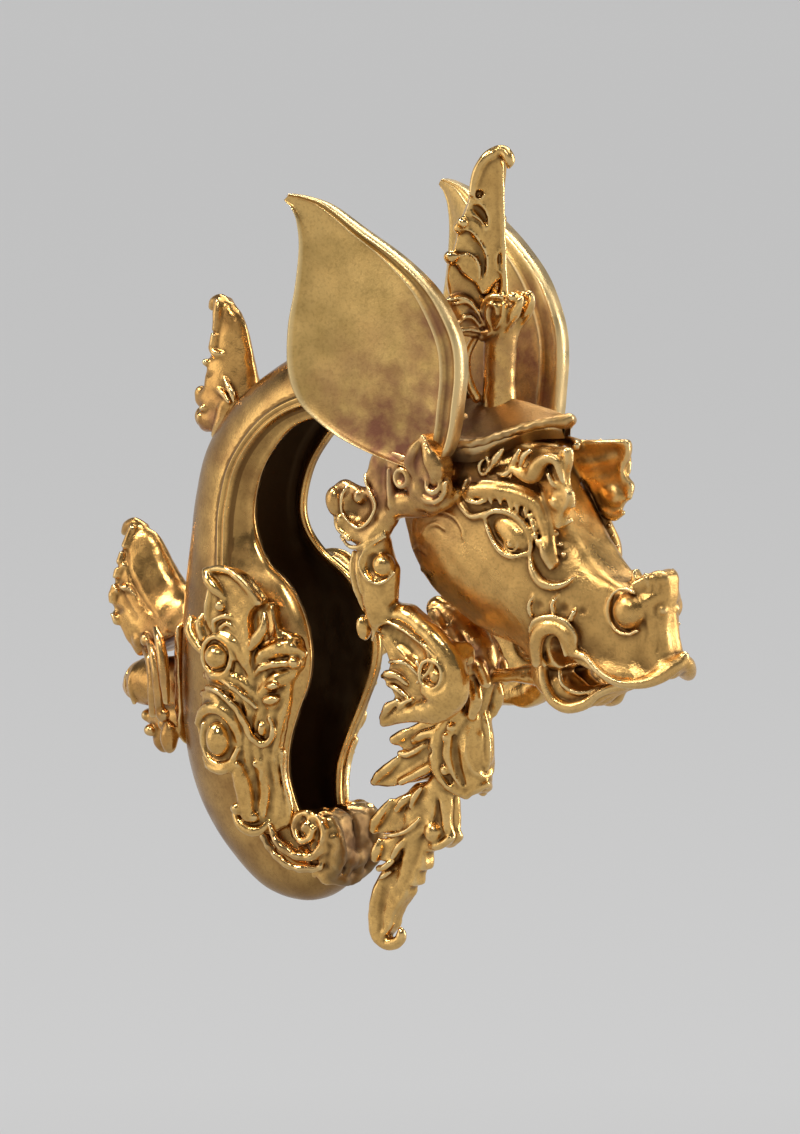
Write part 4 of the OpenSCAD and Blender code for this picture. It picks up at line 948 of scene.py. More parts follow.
def folded_leaf(clay, root, way):
    """Half of the folded leaf: a dark sheet behind, the carved face over it."""
    clay.add(
        Panel(root, way,
              [[0.2, 15.1], [1.1, 14.5], [1.6, 13.4], [1.85, 12.5], [2.2, 11.6], [2.45, 10.8], [2.6, 10.0],
               [2.9, 9.2], [3.05, 8.4], [2.95, 7.4], [2.4, 6.6], [1.2, 6.2], [0.0, 6.6], [-0.1, 9.0],
               [0.0, 12.0], [0.15, 14.2]], -0.95, -0.3), blend=0.1)
    face = Panel(
        root, way,
        [[0.11, 15.1], [0.6, 15.2], [1.27, 14.5], [1.57, 13.85], [1.78, 13.0], [1.95, 12.2], [2.2, 11.6],
         [2.42, 11.25], [2.2, 10.9], [1.8, 10.8], [1.6, 10.3], [1.25, 9.8], [1.45, 9.4], [1.9, 9.56],
         [2.4, 9.6], [2.8, 9.66], [3.08, 9.4], [2.85, 9.1], [2.5, 8.9], [2.15, 8.4], [1.5, 7.95],
         [1.15, 7.35], [0.8, 7.35], [0.5, 7.85], [0.0, 8.3], [-0.2, 8.6], [-0.1, 10.5], [0.0, 12.5],
         [0.08, 14.4]], -0.6, 0.05, bow=0.06, soft=0.08)
    clay.add(face, blend=0.06)
    # Scoops between the lobes
    clay.cut(
        face.lay([[1.5, 12.95, 0.0, 0.16], [1.33, 12.87, -0.05, 0.22], [1.16, 12.95, 0.0, 0.16]]),
        face.lay([[1.8, 12.1, 0.0, 0.08], [1.45, 12.1, -0.05, 0.22], [1.05, 11.65, -0.05, 0.2],
                  [0.88, 11.0, 0.0, 0.06]]),
        face.lay([[1.75, 11.6, 0.02, 0.08], [1.3, 11.35, 0.0, 0.14], [1.02, 10.9, 0.02, 0.05]]),
        face.lay([[2.45, 10.6, 0.1, 0.3], [1.95, 10.35, 0.0, 0.42], [1.45, 9.95, -0.05, 0.42],
                  [1.15, 9.3, -0.02, 0.32], [1.1, 8.8, 0.0, 0.2], [1.13, 8.35, 0.0, 0.08]]),
        face.lay([[2.9, 8.7, 0.2, 0.3], [2.3, 8.2, 0.1, 0.36], [1.7, 7.6, 0.05, 0.3]]),
        face.lay([[0.14, 9.5, 0.0, 0.14], [0.12, 9.15, 0.0, 0.16]]), blend=0.06)
    notches = [
        face.lay([[-0.1, v, 0.0, 0.09], [0.14, v + 0.04, 0.03, 0.05]]) for v in (12.0, 11.5, 11.0, 10.55)]
    clay.cut(face.knob(2.24, 11.15, 0.12, 0.14), *notches, blend=0.04)
    # Fine raised lines beside the scoops
    lines = [
        [[1.56, 13.1], [1.6, 12.85], [1.45, 12.62], [1.2, 12.62], [1.05, 12.85]],
        [[1.27, 12.4], [0.96, 12.05], [0.78, 11.5], [0.84, 10.9]],
        [[1.7, 11.75], [1.3, 11.5], [1.05, 11.15], [0.95, 10.85]],
        [[2.2, 10.95], [1.75, 10.85], [1.3, 10.3], [0.95, 9.65], [0.85, 9.0], [0.92, 8.4]],
        [[2.35, 9.5], [1.9, 9.6], [1.5, 9.35], [1.28, 8.8], [1.3, 8.2]],
        [[-0.1, 9.9], [0.14, 9.85], [0.38, 9.4], [0.34, 8.85], [0.1, 8.5]]]
    for rows in lines:
        clay.add(face.lay([[u, v, -0.02, 0.075] for u, v in rows]), blend=0.05)
    # Roll along the upper edge that curls over at the tip
    clay.add(
        face.lay([[1.72, 12.9, -0.1, 0.16], [1.6, 13.5, -0.1, 0.24], [1.35, 14.25, -0.1, 0.28],
                  [0.98, 14.82, -0.1, 0.3], [0.6, 15.08, -0.14, 0.33]]),
        Stroke([[9.75, -0.45, 15.0, 0.3], [10.0, -0.15, 15.2, 0.34], [10.35, 0, 15.22, 0.36],
                [10.65, 0, 15.02, 0.34], [10.82, 0, 14.72, 0.28], [10.75, 0, 14.42, 0.14]]), blend=0.08)
    clay.add(
        Stroke([[10.2, 0, 14.5, 0.12], [10.25, 0, 12.5, 0.14], [10.36, 0, 10.0, 0.14], [10.42, 0, 8.0, 0.2],
                [10.4, 0, 6.4, 0.4]]), face.knob(2.2, 11.3, -0.1, 0.34), face.knob(2.85, 9.4, -0.15, 0.4),
        face.knob(2.62, 9.45, 0.06, 0.15), face.knob(2.4, 11.0, -0.3, 0.34), blend=0.08)


def crest_fan(clay, root, way):
    """Fan at the foot with nested arcs."""
    fan = Panel(
        root, way,
        [[3.1, 6.2], [3.15, 7.0], [2.6, 7.3], [2.1, 7.3], [1.65, 7.05], [1.3, 6.45], [0.95, 5.7],
         [0.8, 5.2], [1.5, 5.0], [2.4, 5.1], [3.0, 5.3]], -0.5, 0.3, bow=0.2)
    clay.add(fan, blend=0.1)
    clay.cut(
        fan.lay([[2.15, 6.3, 0.05, 0.1], [1.75, 6.5, 0.0, 0.2], [1.35, 6.2, 0.0, 0.14],
                 [1.15, 5.8, 0.05, 0.06]]),
        fan.lay([[2.9, 5.7, 0.1, 0.16], [2.4, 6.0, 0.05, 0.16], [1.9, 5.8, 0.05, 0.2],
                 [1.5, 5.6, 0.05, 0.1]]), blend=0.06)
    arcs = [
        [[3.05, 7.1], [2.4, 7.2], [1.85, 7.0], [1.45, 6.45], [1.05, 5.7]],
        [[2.7, 6.9], [2.1, 6.95], [1.65, 6.7], [1.35, 6.35]],
        [[2.8, 5.55], [2.41, 5.85], [2.08, 6.15], [1.69, 6.1], [1.3, 5.65]],
        [[1.2, 5.3], [1.7, 5.42], [2.15, 5.42], [2.75, 5.3]]]
    for rows in arcs:
        clay.add(fan.lay([[u, v, -0.02, 0.1] for u, v in rows]), blend=0.05)


def crest_bud(clay):
    """Curled bud on each side of the middle: nested arcs, a ball and a small leaf turned forwards."""
    clay.add(Knob(10.6, -0.55, 6.35, 0.9, 0.55, 1.05), blend=0.15)
    clay.add(
        Stroke([[9.9, -0.8, 5.5, 0.14], [9.75, -0.95, 6.2, 0.2], [9.9, -1.0, 6.9, 0.22],
                [10.4, -0.95, 7.25, 0.24], [11.0, -0.85, 7.3, 0.22]]),
        Stroke([[10.35, -1.0, 5.5, 0.1], [10.15, -1.15, 6.2, 0.15], [10.3, -1.15, 6.8, 0.15],
                [10.7, -1.1, 6.85, 0.14], [10.85, -1.1, 6.4, 0.12]]),
        Stroke([[10.7, -1.0, 5.6, 0.1], [11.1, -0.95, 6.2, 0.14], [11.2, -0.9, 6.9, 0.14]]),
        Stroke([[11.1, -0.55, 5.7, 0.2], [11.55, -0.55, 6.3, 0.34], [11.9, -0.5, 6.9, 0.26],
                [12.1, -0.45, 7.35, 0.12]]), Knob(11.6, -0.7, 7.3, 0.3), blend=0.05)
    clay.cut(
        Stroke([[10.0, -1.2, 5.8, 0.07], [9.97, -1.3, 6.4, 0.09], [10.15, -1.3, 6.95, 0.07]]),
        Stroke([[10.5, -1.2, 5.7, 0.07], [10.55, -1.3, 6.3, 0.12], [10.55, -1.25, 6.6, 0.1]]),
        Stroke([[11.35, -0.95, 6.1, 0.08], [11.45, -0.95, 6.7, 0.1], [11.4, -0.9, 7.1, 0.06]]), blend=0.05)


def crest_post(clay):
    """Post, the small leaf on it and the band that winds beside it."""
    clay.add(
        Stroke([[10.1, 0, 1.2, 1.0], [10.1, 0, 2.6, 0.9], [10.15, 0, 4.2, 0.93], [10.3, 0, 5.8, 0.95]]),
        blend=0.2)
    clay.add(
        Stroke([[9.6, -0.9, 4.9, 0.18], [10.0, -1.0, 5.2, 0.26], [10.5, -0.9, 5.4, 0.12]]),
        Stroke([[9.3, -0.9, 5.1, 0.2], [8.95, -1.1, 4.5, 0.22], [8.75, -1.2, 3.8, 0.22],
                [8.75, -1.2, 3.0, 0.24], [8.9, -1.1, 2.2, 0.3], [9.2, -0.9, 1.6, 0.3]]), blend=0.06)


def crest():
    clay = Clay([6.2, -3.6, 1.0], [12.8, 0, 16.3], mirrored=True)
    root, way = (10.31, 0.0), (-0.70, -0.71)
    folded_leaf(clay, root, way)
    crest_fan(clay, root, way)
    crest_bud(clay)
    crest_post(clay)
    clay.roughen(0.02, 1.1)
    return make("crest_leaf", *clay.skin(), "crest")


# Brow plate: ridge x, ridge z, eave x, eave z, eave y
brow_rows = [
    [7.4, 1.3, 7.6, -0.5, 3.3], [9.4, 1.6, 9.8, -0.6, 3.6], [11.4, 1.6, 11.4, -0.5, 3.5],
    [12.9, 1.4, 12.7, 0.1, 2.7], [14.1, 1.2, 13.9, 0.7, 1.5], [15.2, 0.9, 15.1, 0.8, 0.25]]


def brow():
    across = np.linspace(-1, 1, 41)
    part = np.abs(across)
    fold = np.exp(-((part - 1) / 0.09) ** 2)
    # Edge mark: painted highlight along the fold, darker on top, painted shade on the underside
    edge = np.concatenate([0.6 * fold - 0.1, (0.5 * fold - 0.3)[::-1]])
    sections = []
    for rx, rz, ex, ez, ey in curve(brow_rows, 8):
        x = rx + (ex - rx) * part
        z = rz + (ez - rz) * part ** 1.35 - 0.12 * np.sin(math.pi * part)
        y = ey * across
        top = np.stack([x, y, z + 0.1 * fold], 1)
        under = np.stack([x - 0.05, y * 0.985, z - (0.34 + 0.7 * fold)], 1)
        sections.append(np.vstack([top, under[::-1]]))
    verts, quads = loft(np.array(sections), flip=True)
    mark = np.tile(edge, len(sections))
    leaf = verts, quads, np.stack([mark, 0.1 + 0 * mark], 1)
    # Rolled edge and the bud on the middle of it
    lip = Clay([6.6, -4.2, -1.4], [15.8, 0, 2.0], mirrored=True)
    lip.add(
        Stroke([[7.8, -3.3, -0.55, 0.2], [9.8, -3.6, -0.65, 0.22], [11.4, -3.5, -0.5, 0.24],
                [12.7, -2.75, 0.0, 0.26], [13.9, -1.55, 0.5, 0.28], [14.9, -0.5, 0.72, 0.3],
                [15.2, 0, 0.85, 0.28]]),
        Stroke([[9.4, -3.3, -0.95, 0.14], [11.2, -3.2, -0.85, 0.16], [12.4, -2.5, -0.4, 0.18],
                [13.5, -1.4, 0.05, 0.2], [14.2, -0.5, 0.25, 0.22], [14.3, 0, 0.3, 0.22]]),
        Knob(14.8, -0.2, 0.6, 0.42), blend=0.15)
    lip.roughen(0.04, 0.8)
    return make("brow_leaf", *joined(leaf, lip.skin()), "brow_plate")


def root_leaf(clay):
    """Leaf at the ear root: two swollen halves that meet in a deep line."""
    clay.add(Plate([[8.98, -0.05], [8.4, -0.7], [7.85, -1.15], [7.75, -1.8], [8.2, -2.4], [9.0, -2.8],
                    [10.1, -2.6], [10.4, -2.0], [9.96, -1.1], [9.3, -0.3]], -5.2, -3.9, 0.25), blend=0.1)
    clay.add(
        Stroke([[8.95, -5.1, -0.25, 0.14], [8.4, -5.2, -1.0, 0.36], [8.15, -5.2, -1.7, 0.36],
                [8.4, -5.1, -2.4, 0.2]]),
        Stroke([[9.05, -5.1, -0.25, 0.14], [9.55, -5.15, -1.2, 0.46], [9.85, -5.05, -2.0, 0.46],
                [9.8, -4.95, -2.6, 0.3]]), blend=0.08)
    clay.cut(
        Stroke([[8.95, -5.7, -0.5, 0.1], [8.75, -5.65, -1.45, 0.2], [8.65, -5.55, -2.4, 0.18]]),
        Stroke([[7.8, -5.6, -1.55, 0.05], [8.2, -5.7, -1.6, 0.08], [8.5, -5.6, -1.75, 0.05]]), blend=0.06)


def root_scrolls(clay):
    """Small ring scroll beside the root leaf, and the wide scroll below it."""
    clay.add(
        Knob(7.5, -4.75, -2.6, 0.62), coil(7.47, -5.2, -2.6, 0.48, 0.48, 0, 360, 0.13, 0.13), blend=0.08)
    clay.cut(Knob(7.47, -5.45, -2.6, 0.36), blend=0.04)
    clay.add(Knob(9.5, -4.5, -3.0, 1.1, 0.5, 0.8), coil(9.5, -4.95, -2.75, 1.1, 1.0, 175, 190, 0.2, 0.16),
             blend=0.1)
    clay.cut(coil(9.55, -5.2, -2.8, 0.68, 0.62, 170, 200, 0.16, 0.12), blend=0.08)
    clay.add(Stroke([[9.25, -5.1, -2.5, 0.12], [9.4, -5.2, -3.05, 0.16], [9.85, -5.2, -3.2, 0.17],
                     [10.2, -5.1, -2.9, 0.14], [10.15, -5.0, -2.4, 0.12]]), blend=0.05)
    clay.add(
        Stroke([[8.6, -3.5, -2.0, 0.8], [8.5, -4.2, -2.6, 0.8], [8.3, -4.5, -3.2, 0.7]]),
        Stroke([[10.3, -3.8, -3.4, 0.4], [9.2, -4.3, -3.9, 0.6], [7.8, -4.4, -3.9, 0.6],
                [6.6, -4.5, -4.1, 0.6]]),
        Stroke([[5.8, -4.5, -4.9, 0.5], [6.8, -4.4, -4.4, 0.55], [7.8, -4.2, -4.4, 0.5],
                [8.6, -3.9, -4.4, 0.4]]), blend=0.2)


def strand_stem(clay):
    """Stem from the ear: a folded strip with a groove and a ridge beside it."""
    clay.add(Plate([[5.3, -1.3], [4.65, -2.4], [4.5, -3.0], [4.75, -3.7], [5.2, -4.5], [6.8, -4.4],
                    [6.65, -2.9], [7.0, -2.0], [7.6, -1.4]], -4.95, -4.0, 0.2), blend=0.12)
    clay.cut(Stroke([[6.0, -5.2, -1.6, 0.3], [5.8, -5.2, -2.6, 0.36], [5.9, -5.2, -4.0, 0.24]]), blend=0.12)
    clay.add(
        Stroke([[6.35, -4.95, -2.3, 0.15], [6.45, -5.0, -3.2, 0.2], [6.6, -5.0, -4.2, 0.24]]), blend=0.1)


def strand_cup(clay):
    """Cup: a bowl with a thin rim, a hood over it, an egg on its left."""
    clay.add(
        Knob(4.2, -4.6, -4.75, 1.5, 0.8, 1.3, 10), Knob(3.0, -4.5, -4.3, 0.75, 0.6, 0.9),
        Knob(3.3, -4.5, -5.5, 0.9, 0.55, 0.9),
        Stroke([[2.9, -4.6, -5.6, 0.5], [4.0, -4.6, -6.15, 0.6], [5.2, -4.6, -5.9, 0.6],
                [5.9, -4.5, -5.2, 0.5]]), blend=0.2)
    clay.cut(Knob(4.25, -5.45, -4.55, 1.12, 0.75, 0.95, 15), blend=0.08)
    clay.add(
        Stroke([[3.3, -5.1, -3.55, 0.12], [3.2, -5.25, -3.8, 0.11], [3.08, -5.3, -4.3, 0.11],
                [3.15, -5.3, -4.85, 0.1], [3.7, -5.35, -5.35, 0.1], [4.45, -5.35, -5.65, 0.1],
                [5.1, -5.3, -5.25, 0.11], [5.45, -5.25, -4.7, 0.1], [5.53, -5.2, -4.15, 0.1],
                [5.1, -5.15, -3.6, 0.1], [4.7, -5.05, -3.0, 0.1], [4.55, -4.95, -2.7, 0.08]]), blend=0.05)
    clay.add(Stroke([[2.45, -4.7, -3.6, 0.3], [2.9, -4.75, -3.45, 0.34], [3.5, -4.75, -3.6, 0.34],
                     [4.15, -4.75, -3.8, 0.3]]), Knob(4.1, -4.9, -4.0, 0.36), blend=0.1)
    clay.add(Knob(2.34, -4.95, -4.35, 0.55, 0.56, 0.85, 6), Knob(2.8, -4.6, -5.0, 0.42), blend=0.05)
    clay.add(
        Knob(2.9, -5.0, -5.3, 0.36),
        Stroke([[2.35, -4.9, -5.2, 0.14], [2.55, -5.1, -5.6, 0.15], [3.0, -5.2, -6.0, 0.15],
                [3.6, -5.25, -6.35, 0.13]]), blend=0.06)
    clay.add(Stroke([[2.7, -4.9, -6.3, 0.1], [3.7, -5.25, -6.76, 0.12], [5.03, -5.25, -6.52, 0.12],
                     [6.0, -4.95, -5.8, 0.1]]), blend=0.08)


def strand_bud(clay):
    """Bud with flat sides and a large ball under a rim."""
    clay.add(
        Knob(4.85, -4.4, -8.0, 1.4, 1.0, 1.5, 5),
        Stroke([[4.9, -4.4, -6.6, 0.9], [5.0, -4.4, -8.4, 1.0], [5.15, -4.35, -9.8, 1.0],
                [5.2, -4.3, -10.7, 0.8]]), Stroke([[6.0, -4.4, -8.0, 0.5], [6.0, -4.4, -9.4, 0.42]]),
        blend=0.2)
    clay.add(
        Stroke([[3.75, -4.95, -7.1, 0.14], [3.7, -5.1, -8.0, 0.18], [4.05, -5.1, -9.2, 0.16],
                [4.4, -4.9, -10.2, 0.12]]),
        Stroke([[4.1, -5.1, -7.2, 0.1], [4.35, -5.35, -8.1, 0.14], [4.6, -5.3, -9.2, 0.12]]), blend=0.1)
    clay.cut(Knob(5.8, -5.5, -7.55, 0.92, 0.62, 0.9), blend=0.05)
    clay.add(Knob(5.95, -4.95, -7.62, 0.68, 0.62, 0.66), blend=0.03)
    clay.add(
        Stroke([[6.05, -4.95, -6.0, 0.1], [5.2, -5.3, -6.6, 0.1], [4.7, -5.4, -7.15, 0.1],
                [4.6, -5.45, -7.75, 0.11], [5.03, -5.45, -8.3, 0.11], [5.72, -5.4, -8.6, 0.1],
                [6.3, -5.2, -8.45, 0.1], [6.7, -4.9, -7.97, 0.1]]), blend=0.05)


def hooked_leaf(clay):
    """Hooked leaf: thick outer roll, dark field inside a thin line, scroll, tips on the left."""
    clay.add(
        Plate([[4.1, -10.5], [5.5, -10.0], [6.72, -9.8], [7.5, -10.1], [8.6, -10.8], [9.9, -11.7],
               [10.7, -12.7], [11.0, -13.6], [10.9, -14.7], [10.1, -15.7], [8.9, -16.3], [7.2, -16.2],
               [5.1, -16.8], [5.3, -15.8], [6.1, -15.0], [5.3, -14.2], [5.7, -13.3], [5.3, -12.4],
               [4.8, -11.6], [4.1, -11.2]], -4.3, -3.4, 0.25), blend=0.15)
    clay.add(
        Stroke([[5.2, -4.1, -10.6, 0.45], [6.9, -4.15, -10.45, 0.5], [8.3, -4.15, -11.1, 0.55],
                [9.6, -4.1, -12.0, 0.6], [10.3, -4.0, -13.2, 0.68], [10.1, -4.0, -14.5, 0.8],
                [9.1, -4.0, -15.35, 0.8], [7.8, -4.05, -15.7, 0.6], [6.4, -4.1, -16.1, 0.4],
                [5.2, -4.1, -16.65, 0.16]]), blend=0.15)
    clay.cut(Knob(9.2, -4.75, -13.4, 0.75, 0.75, 0.75), blend=0.05)
    clay.add(
        Knob(9.4, -4.35, -13.55, 0.46),
        Stroke([[8.8, -4.4, -14.3, 0.5], [9.6, -4.4, -14.6, 0.55], [10.3, -4.3, -14.1, 0.45]]), blend=0.1)
    clay.cut(
        Stroke([[5.7, -4.6, -11.3, 0.34], [7.0, -4.5, -12.0, 0.7], [8.1, -4.5, -12.7, 0.6]]),
        Stroke([[5.6, -4.65, -11.7, 0.24], [6.4, -4.65, -12.6, 0.4], [7.2, -4.65, -13.1, 0.35]]),
        blend=0.08)
    clay.add(
        Stroke([[5.0, -4.65, -10.9, 0.12], [6.0, -4.7, -10.8, 0.11], [7.3, -4.75, -11.15, 0.11],
                [8.5, -4.7, -11.75, 0.11], [9.4, -4.65, -12.35, 0.12], [9.75, -4.6, -12.5, 0.16],
                [10.1, -4.55, -12.45, 0.1]]),
        Stroke([[9.58, -4.65, -12.5, 0.14], [8.9, -4.65, -13.4, 0.11], [8.1, -4.6, -14.0, 0.1]]),
        coil(9.25, -4.75, -13.4, 0.85, 0.8, 60, -360, 0.15, 0.15),
        Stroke([[7.65, -4.35, -12.75, 0.1], [8.1, -4.5, -12.9, 0.14], [8.3, -4.4, -13.35, 0.12]]),
        Stroke([[5.9, -4.4, -13.1, 0.12], [6.6, -4.55, -12.95, 0.14], [7.4, -4.5, -13.1, 0.14],
                [8.0, -4.4, -13.6, 0.1]]),
        Stroke([[5.3, -4.3, -13.95, 0.16], [5.9, -4.5, -13.75, 0.24], [6.6, -4.5, -13.8, 0.2],
                [7.2, -4.4, -14.2, 0.12]]),
        Stroke([[5.6, -4.25, -14.4, 0.1], [6.4, -4.45, -14.5, 0.18], [7.2, -4.4, -14.9, 0.12]]), blend=0.05)
    clay.add(
        Knob(4.15, -4.6, -11.3, 0.42, 0.46, 0.72, 5), Knob(4.85, -4.55, -10.6, 0.28),
        Stroke([[4.5, -4.6, -10.55, 0.14], [4.75, -4.75, -11.0, 0.12], [5.05, -4.75, -11.4, 0.12],
                [4.8, -4.6, -11.95, 0.12]]), blend=0.05)
    clay.add(
        Stroke([[5.2, -4.2, -16.3, 0.22], [5.9, -4.5, -15.6, 0.28], [6.6, -4.5, -15.2, 0.16]]),
        Stroke([[6.3, -4.3, -15.9, 0.14], [7.0, -4.5, -15.3, 0.18], [7.6, -4.45, -15.0, 0.1]]), blend=0.07)
    clay.add(Stroke([[9.3, -3.6, -12.6, 0.8], [10.0, -2.8, -12.4, 0.7]]), blend=0.3)


def strands():
    clay = Clay([0.9, -6.6, -17.4], [12.0, -2.6, 0.5])
    root_leaf(clay)
    root_scrolls(clay)
    strand_stem(clay)
    strand_cup(clay)
    strand_bud(clay)
    hooked_leaf(clay)
    clay.roughen(0.025, 1.2)
    return both_sides("strand_leaves", *clay.skin(), "strand")


def jaw_leaves(clay):
    """Stem and the foliage under the jaw."""
    clay.add(
        Stroke([[5.6, 0, -10.6, 0.7], [7.2, 0, -11.6, 1.0], [8.6, 0, -12.8, 1.1], [8.6, 0, -14.6, 0.9],
                [8.0, 0, -16.4, 0.85], [7.4, 0, -18.4, 1.0], [6.2, 0, -20.2, 0.9], [5.0, 0, -21.8, 0.8]]),
        blend=0.2)
    clay.add(Stroke([[8.8, 0, -13.9, 0.5], [10.2, 0, -13.9, 0.38], [11.3, 0, -13.75, 0.42],
                     [12.5, 0, -13.6, 0.6], [13.1, 0, -13.55, 0.7]]), blend=0.15)
    leaves = [
        [[6.0, -0.8, -10.9, 0.4], [6.8, -1.2, -11.6, 0.5], [7.5, -1.3, -12.6, 0.4],
         [7.2, -1.0, -13.4, 0.22]],
        [[7.4, -0.9, -11.6, 0.4], [8.2, -1.2, -12.4, 0.5], [8.9, -1.2, -13.4, 0.4],
         [8.5, -1.0, -14.2, 0.22]],
        [[8.7, -0.8, -13.0, 0.35], [9.4, -0.9, -13.4, 0.4], [9.8, -0.8, -14.3, 0.32]],
        [[8.8, -0.8, -14.2, 0.4], [9.2, -0.9, -15.2, 0.4], [8.9, -0.9, -16.2, 0.26]],
        [[7.6, -0.9, -14.4, 0.35], [8.0, -1.2, -15.6, 0.42], [7.8, -1.1, -16.8, 0.3]]]
    for rows in leaves:
        clay.add(Stroke(rows), blend=0.1)


def scroll_bud(clay):
    """Scroll bud: thick leaf rolled to the right, folds nested in it, rim along its foot."""
    clay.add(
        Knob(7.5, 0, -18.4, 1.75, 1.1, 2.4, -4),
        Stroke([[8.2, -0.3, -16.4, 0.7], [8.4, -0.35, -17.8, 0.75], [8.3, -0.35, -19.2, 0.75],
                [8.2, -0.3, -20.0, 0.6]]),
        Stroke([[6.6, -0.4, -19.5, 0.6], [7.5, -0.4, -20.1, 0.65], [8.5, -0.3, -20.1, 0.6]]), blend=0.25)
    clay.add(
        Stroke([[7.2, -0.8, -16.5, 0.36], [6.5, -1.0, -17.6, 0.44], [6.4, -1.05, -18.8, 0.46],
                [6.8, -1.0, -19.8, 0.42], [7.6, -0.9, -20.4, 0.36], [8.3, -0.7, -20.75, 0.26]]),
        Stroke([[8.2, -0.9, -16.4, 0.3], [7.7, -1.15, -17.3, 0.38], [7.5, -1.2, -18.4, 0.4],
                [7.8, -1.1, -19.4, 0.32], [8.2, -0.95, -20.1, 0.22]]), blend=0.1)
    clay.cut(
        Stroke([[8.0, -1.35, -17.5, 0.18], [8.05, -1.4, -18.5, 0.3], [8.2, -1.3, -19.4, 0.3],
                [8.4, -1.1, -20.1, 0.2]]),
        Stroke([[7.1, -1.45, -17.3, 0.15], [6.95, -1.45, -18.3, 0.25], [7.05, -1.4, -19.3, 0.25],
                [7.5, -1.2, -20.1, 0.16]]), blend=0.08)
    clay.add(
        Stroke([[8.7, -0.6, -16.8, 0.15], [8.65, -0.9, -17.5, 0.19], [8.6, -1.0, -18.4, 0.21],
                [8.8, -0.85, -19.2, 0.2], [9.05, -0.45, -19.6, 0.16], [9.1, -0.1, -19.7, 0.14],
                [9.1, 0, -19.7, 0.14]]),
        Stroke([[9.05, -0.35, -17.2, 0.12], [9.05, -0.5, -17.8, 0.15], [9.1, -0.45, -18.6, 0.15],
                [9.2, -0.2, -19.0, 0.13], [9.25, 0, -19.0, 0.12]]),
        Stroke([[8.2, -0.75, -20.75, 0.2], [8.7, -0.6, -20.5, 0.25], [9.0, -0.3, -20.25, 0.27],
                [9.1, 0, -20.15, 0.27]]),
        Stroke([[9.0, 0, -16.3, 0.2], [9.25, 0, -17.5, 0.2], [9.3, 0, -18.5, 0.18], [9.2, 0, -19.3, 0.16]]),
        Knob(7.8, -1.35, -16.9, 0.34), Knob(7.5, -1.45, -17.5, 0.3, 0.26, 0.34),
        Knob(7.2, -1.25, -19.4, 0.34, 0.26, 0.3), blend=0.06)


def rear_leaf(clay):
    """Leaf to the left of the bud: one blade with rolled lobes along its upper edge."""
    clay.add(
        Plate([[7.2, -16.9], [5.8, -16.6], [4.4, -17.3], [3.3, -17.9], [3.2, -18.3], [3.9, -18.7],
               [3.4, -19.2], [2.2, -20.2], [1.7, -20.75], [2.2, -20.95], [3.6, -20.7], [5.4, -19.9],
               [6.5, -19.2]], -1.15, -0.3, 0.25), blend=0.15)
    clay.add(
        Stroke([[4.5, -1.05, -17.5, 0.2], [3.9, -1.15, -17.8, 0.3], [3.3, -1.1, -18.15, 0.3]]),
        Stroke([[5.6, -1.2, -18.2, 0.12], [4.7, -1.3, -18.75, 0.2], [3.9, -1.3, -18.85, 0.2]]),
        Stroke([[3.6, -1.15, -19.2, 0.2], [3.0, -1.2, -19.7, 0.3], [2.3, -1.2, -20.2, 0.3],
                [1.75, -1.15, -20.7, 0.22]]),
        Stroke([[6.6, -1.15, -17.3, 0.2], [5.6, -1.25, -17.6, 0.28], [4.8, -1.2, -18.0, 0.2]]),
        Stroke([[6.6, -1.05, -19.0, 0.26], [5.2, -1.15, -19.8, 0.26], [3.8, -1.15, -20.5, 0.2]]), blend=0.1)
    clay.cut(
        Stroke([[6.2, -1.4, -18.4, 0.2], [5.0, -1.4, -19.2, 0.34], [3.9, -1.38, -19.9, 0.26],
                [3.0, -1.36, -20.4, 0.12]]),
        Stroke([[5.2, -1.5, -18.1, 0.12], [4.4, -1.48, -18.35, 0.18], [3.6, -1.45, -18.55, 0.1]]),
        blend=0.1)


def last_leaf(clay):
    """Last leaf: long blade with a stepped right edge, a roll down its left edge that curls up at the end."""
    clay.add(
        Plate([[5.0, -20.6], [5.9, -22.4], [5.7, -23.6], [5.45, -24.3], [4.95, -24.55], [4.9, -25.45],
               [4.4, -25.65], [4.25, -26.4], [3.75, -26.6], [3.6, -27.1], [3.0, -27.8], [2.6, -28.5],
               [2.4, -29.1], [1.9, -29.6], [1.2, -30.0], [0.8, -29.4], [0.75, -28.6], [0.95, -27.3],
               [1.5, -26.2], [2.0, -25.5], [2.3, -24.5], [2.6, -23.5], [3.2, -22.3], [3.8, -21.0]], -0.5,
              0.3, 0.2), blend=0.15)
    clay.add(
        Stroke([[4.6, -0.2, -21.4, 0.8], [4.2, -0.2, -23.0, 0.8], [3.8, -0.15, -24.8, 0.6],
                [3.1, -0.1, -26.6, 0.45]]),
        Stroke([[1.9, -0.4, -26.0, 0.16], [1.4, -0.45, -27.2, 0.34], [1.12, -0.35, -28.5, 0.38],
                [1.2, -0.3, -29.5, 0.38], [1.6, -0.2, -30.02, 0.36], [2.1, -0.1, -30.08, 0.36],
                [2.6, 0, -29.85, 0.34], [2.82, 0, -29.45, 0.28], [2.75, 0, -29.15, 0.14]]), blend=0.12)
    clay.cut(Stroke([[3.3, -0.95, -24.5, 0.14], [2.7, -0.85, -25.6, 0.26], [2.2, -0.75, -26.8, 0.26],
                     [1.85, -0.7, -28.0, 0.24], [1.7, -0.7, -29.2, 0.24]]), blend=0.12)


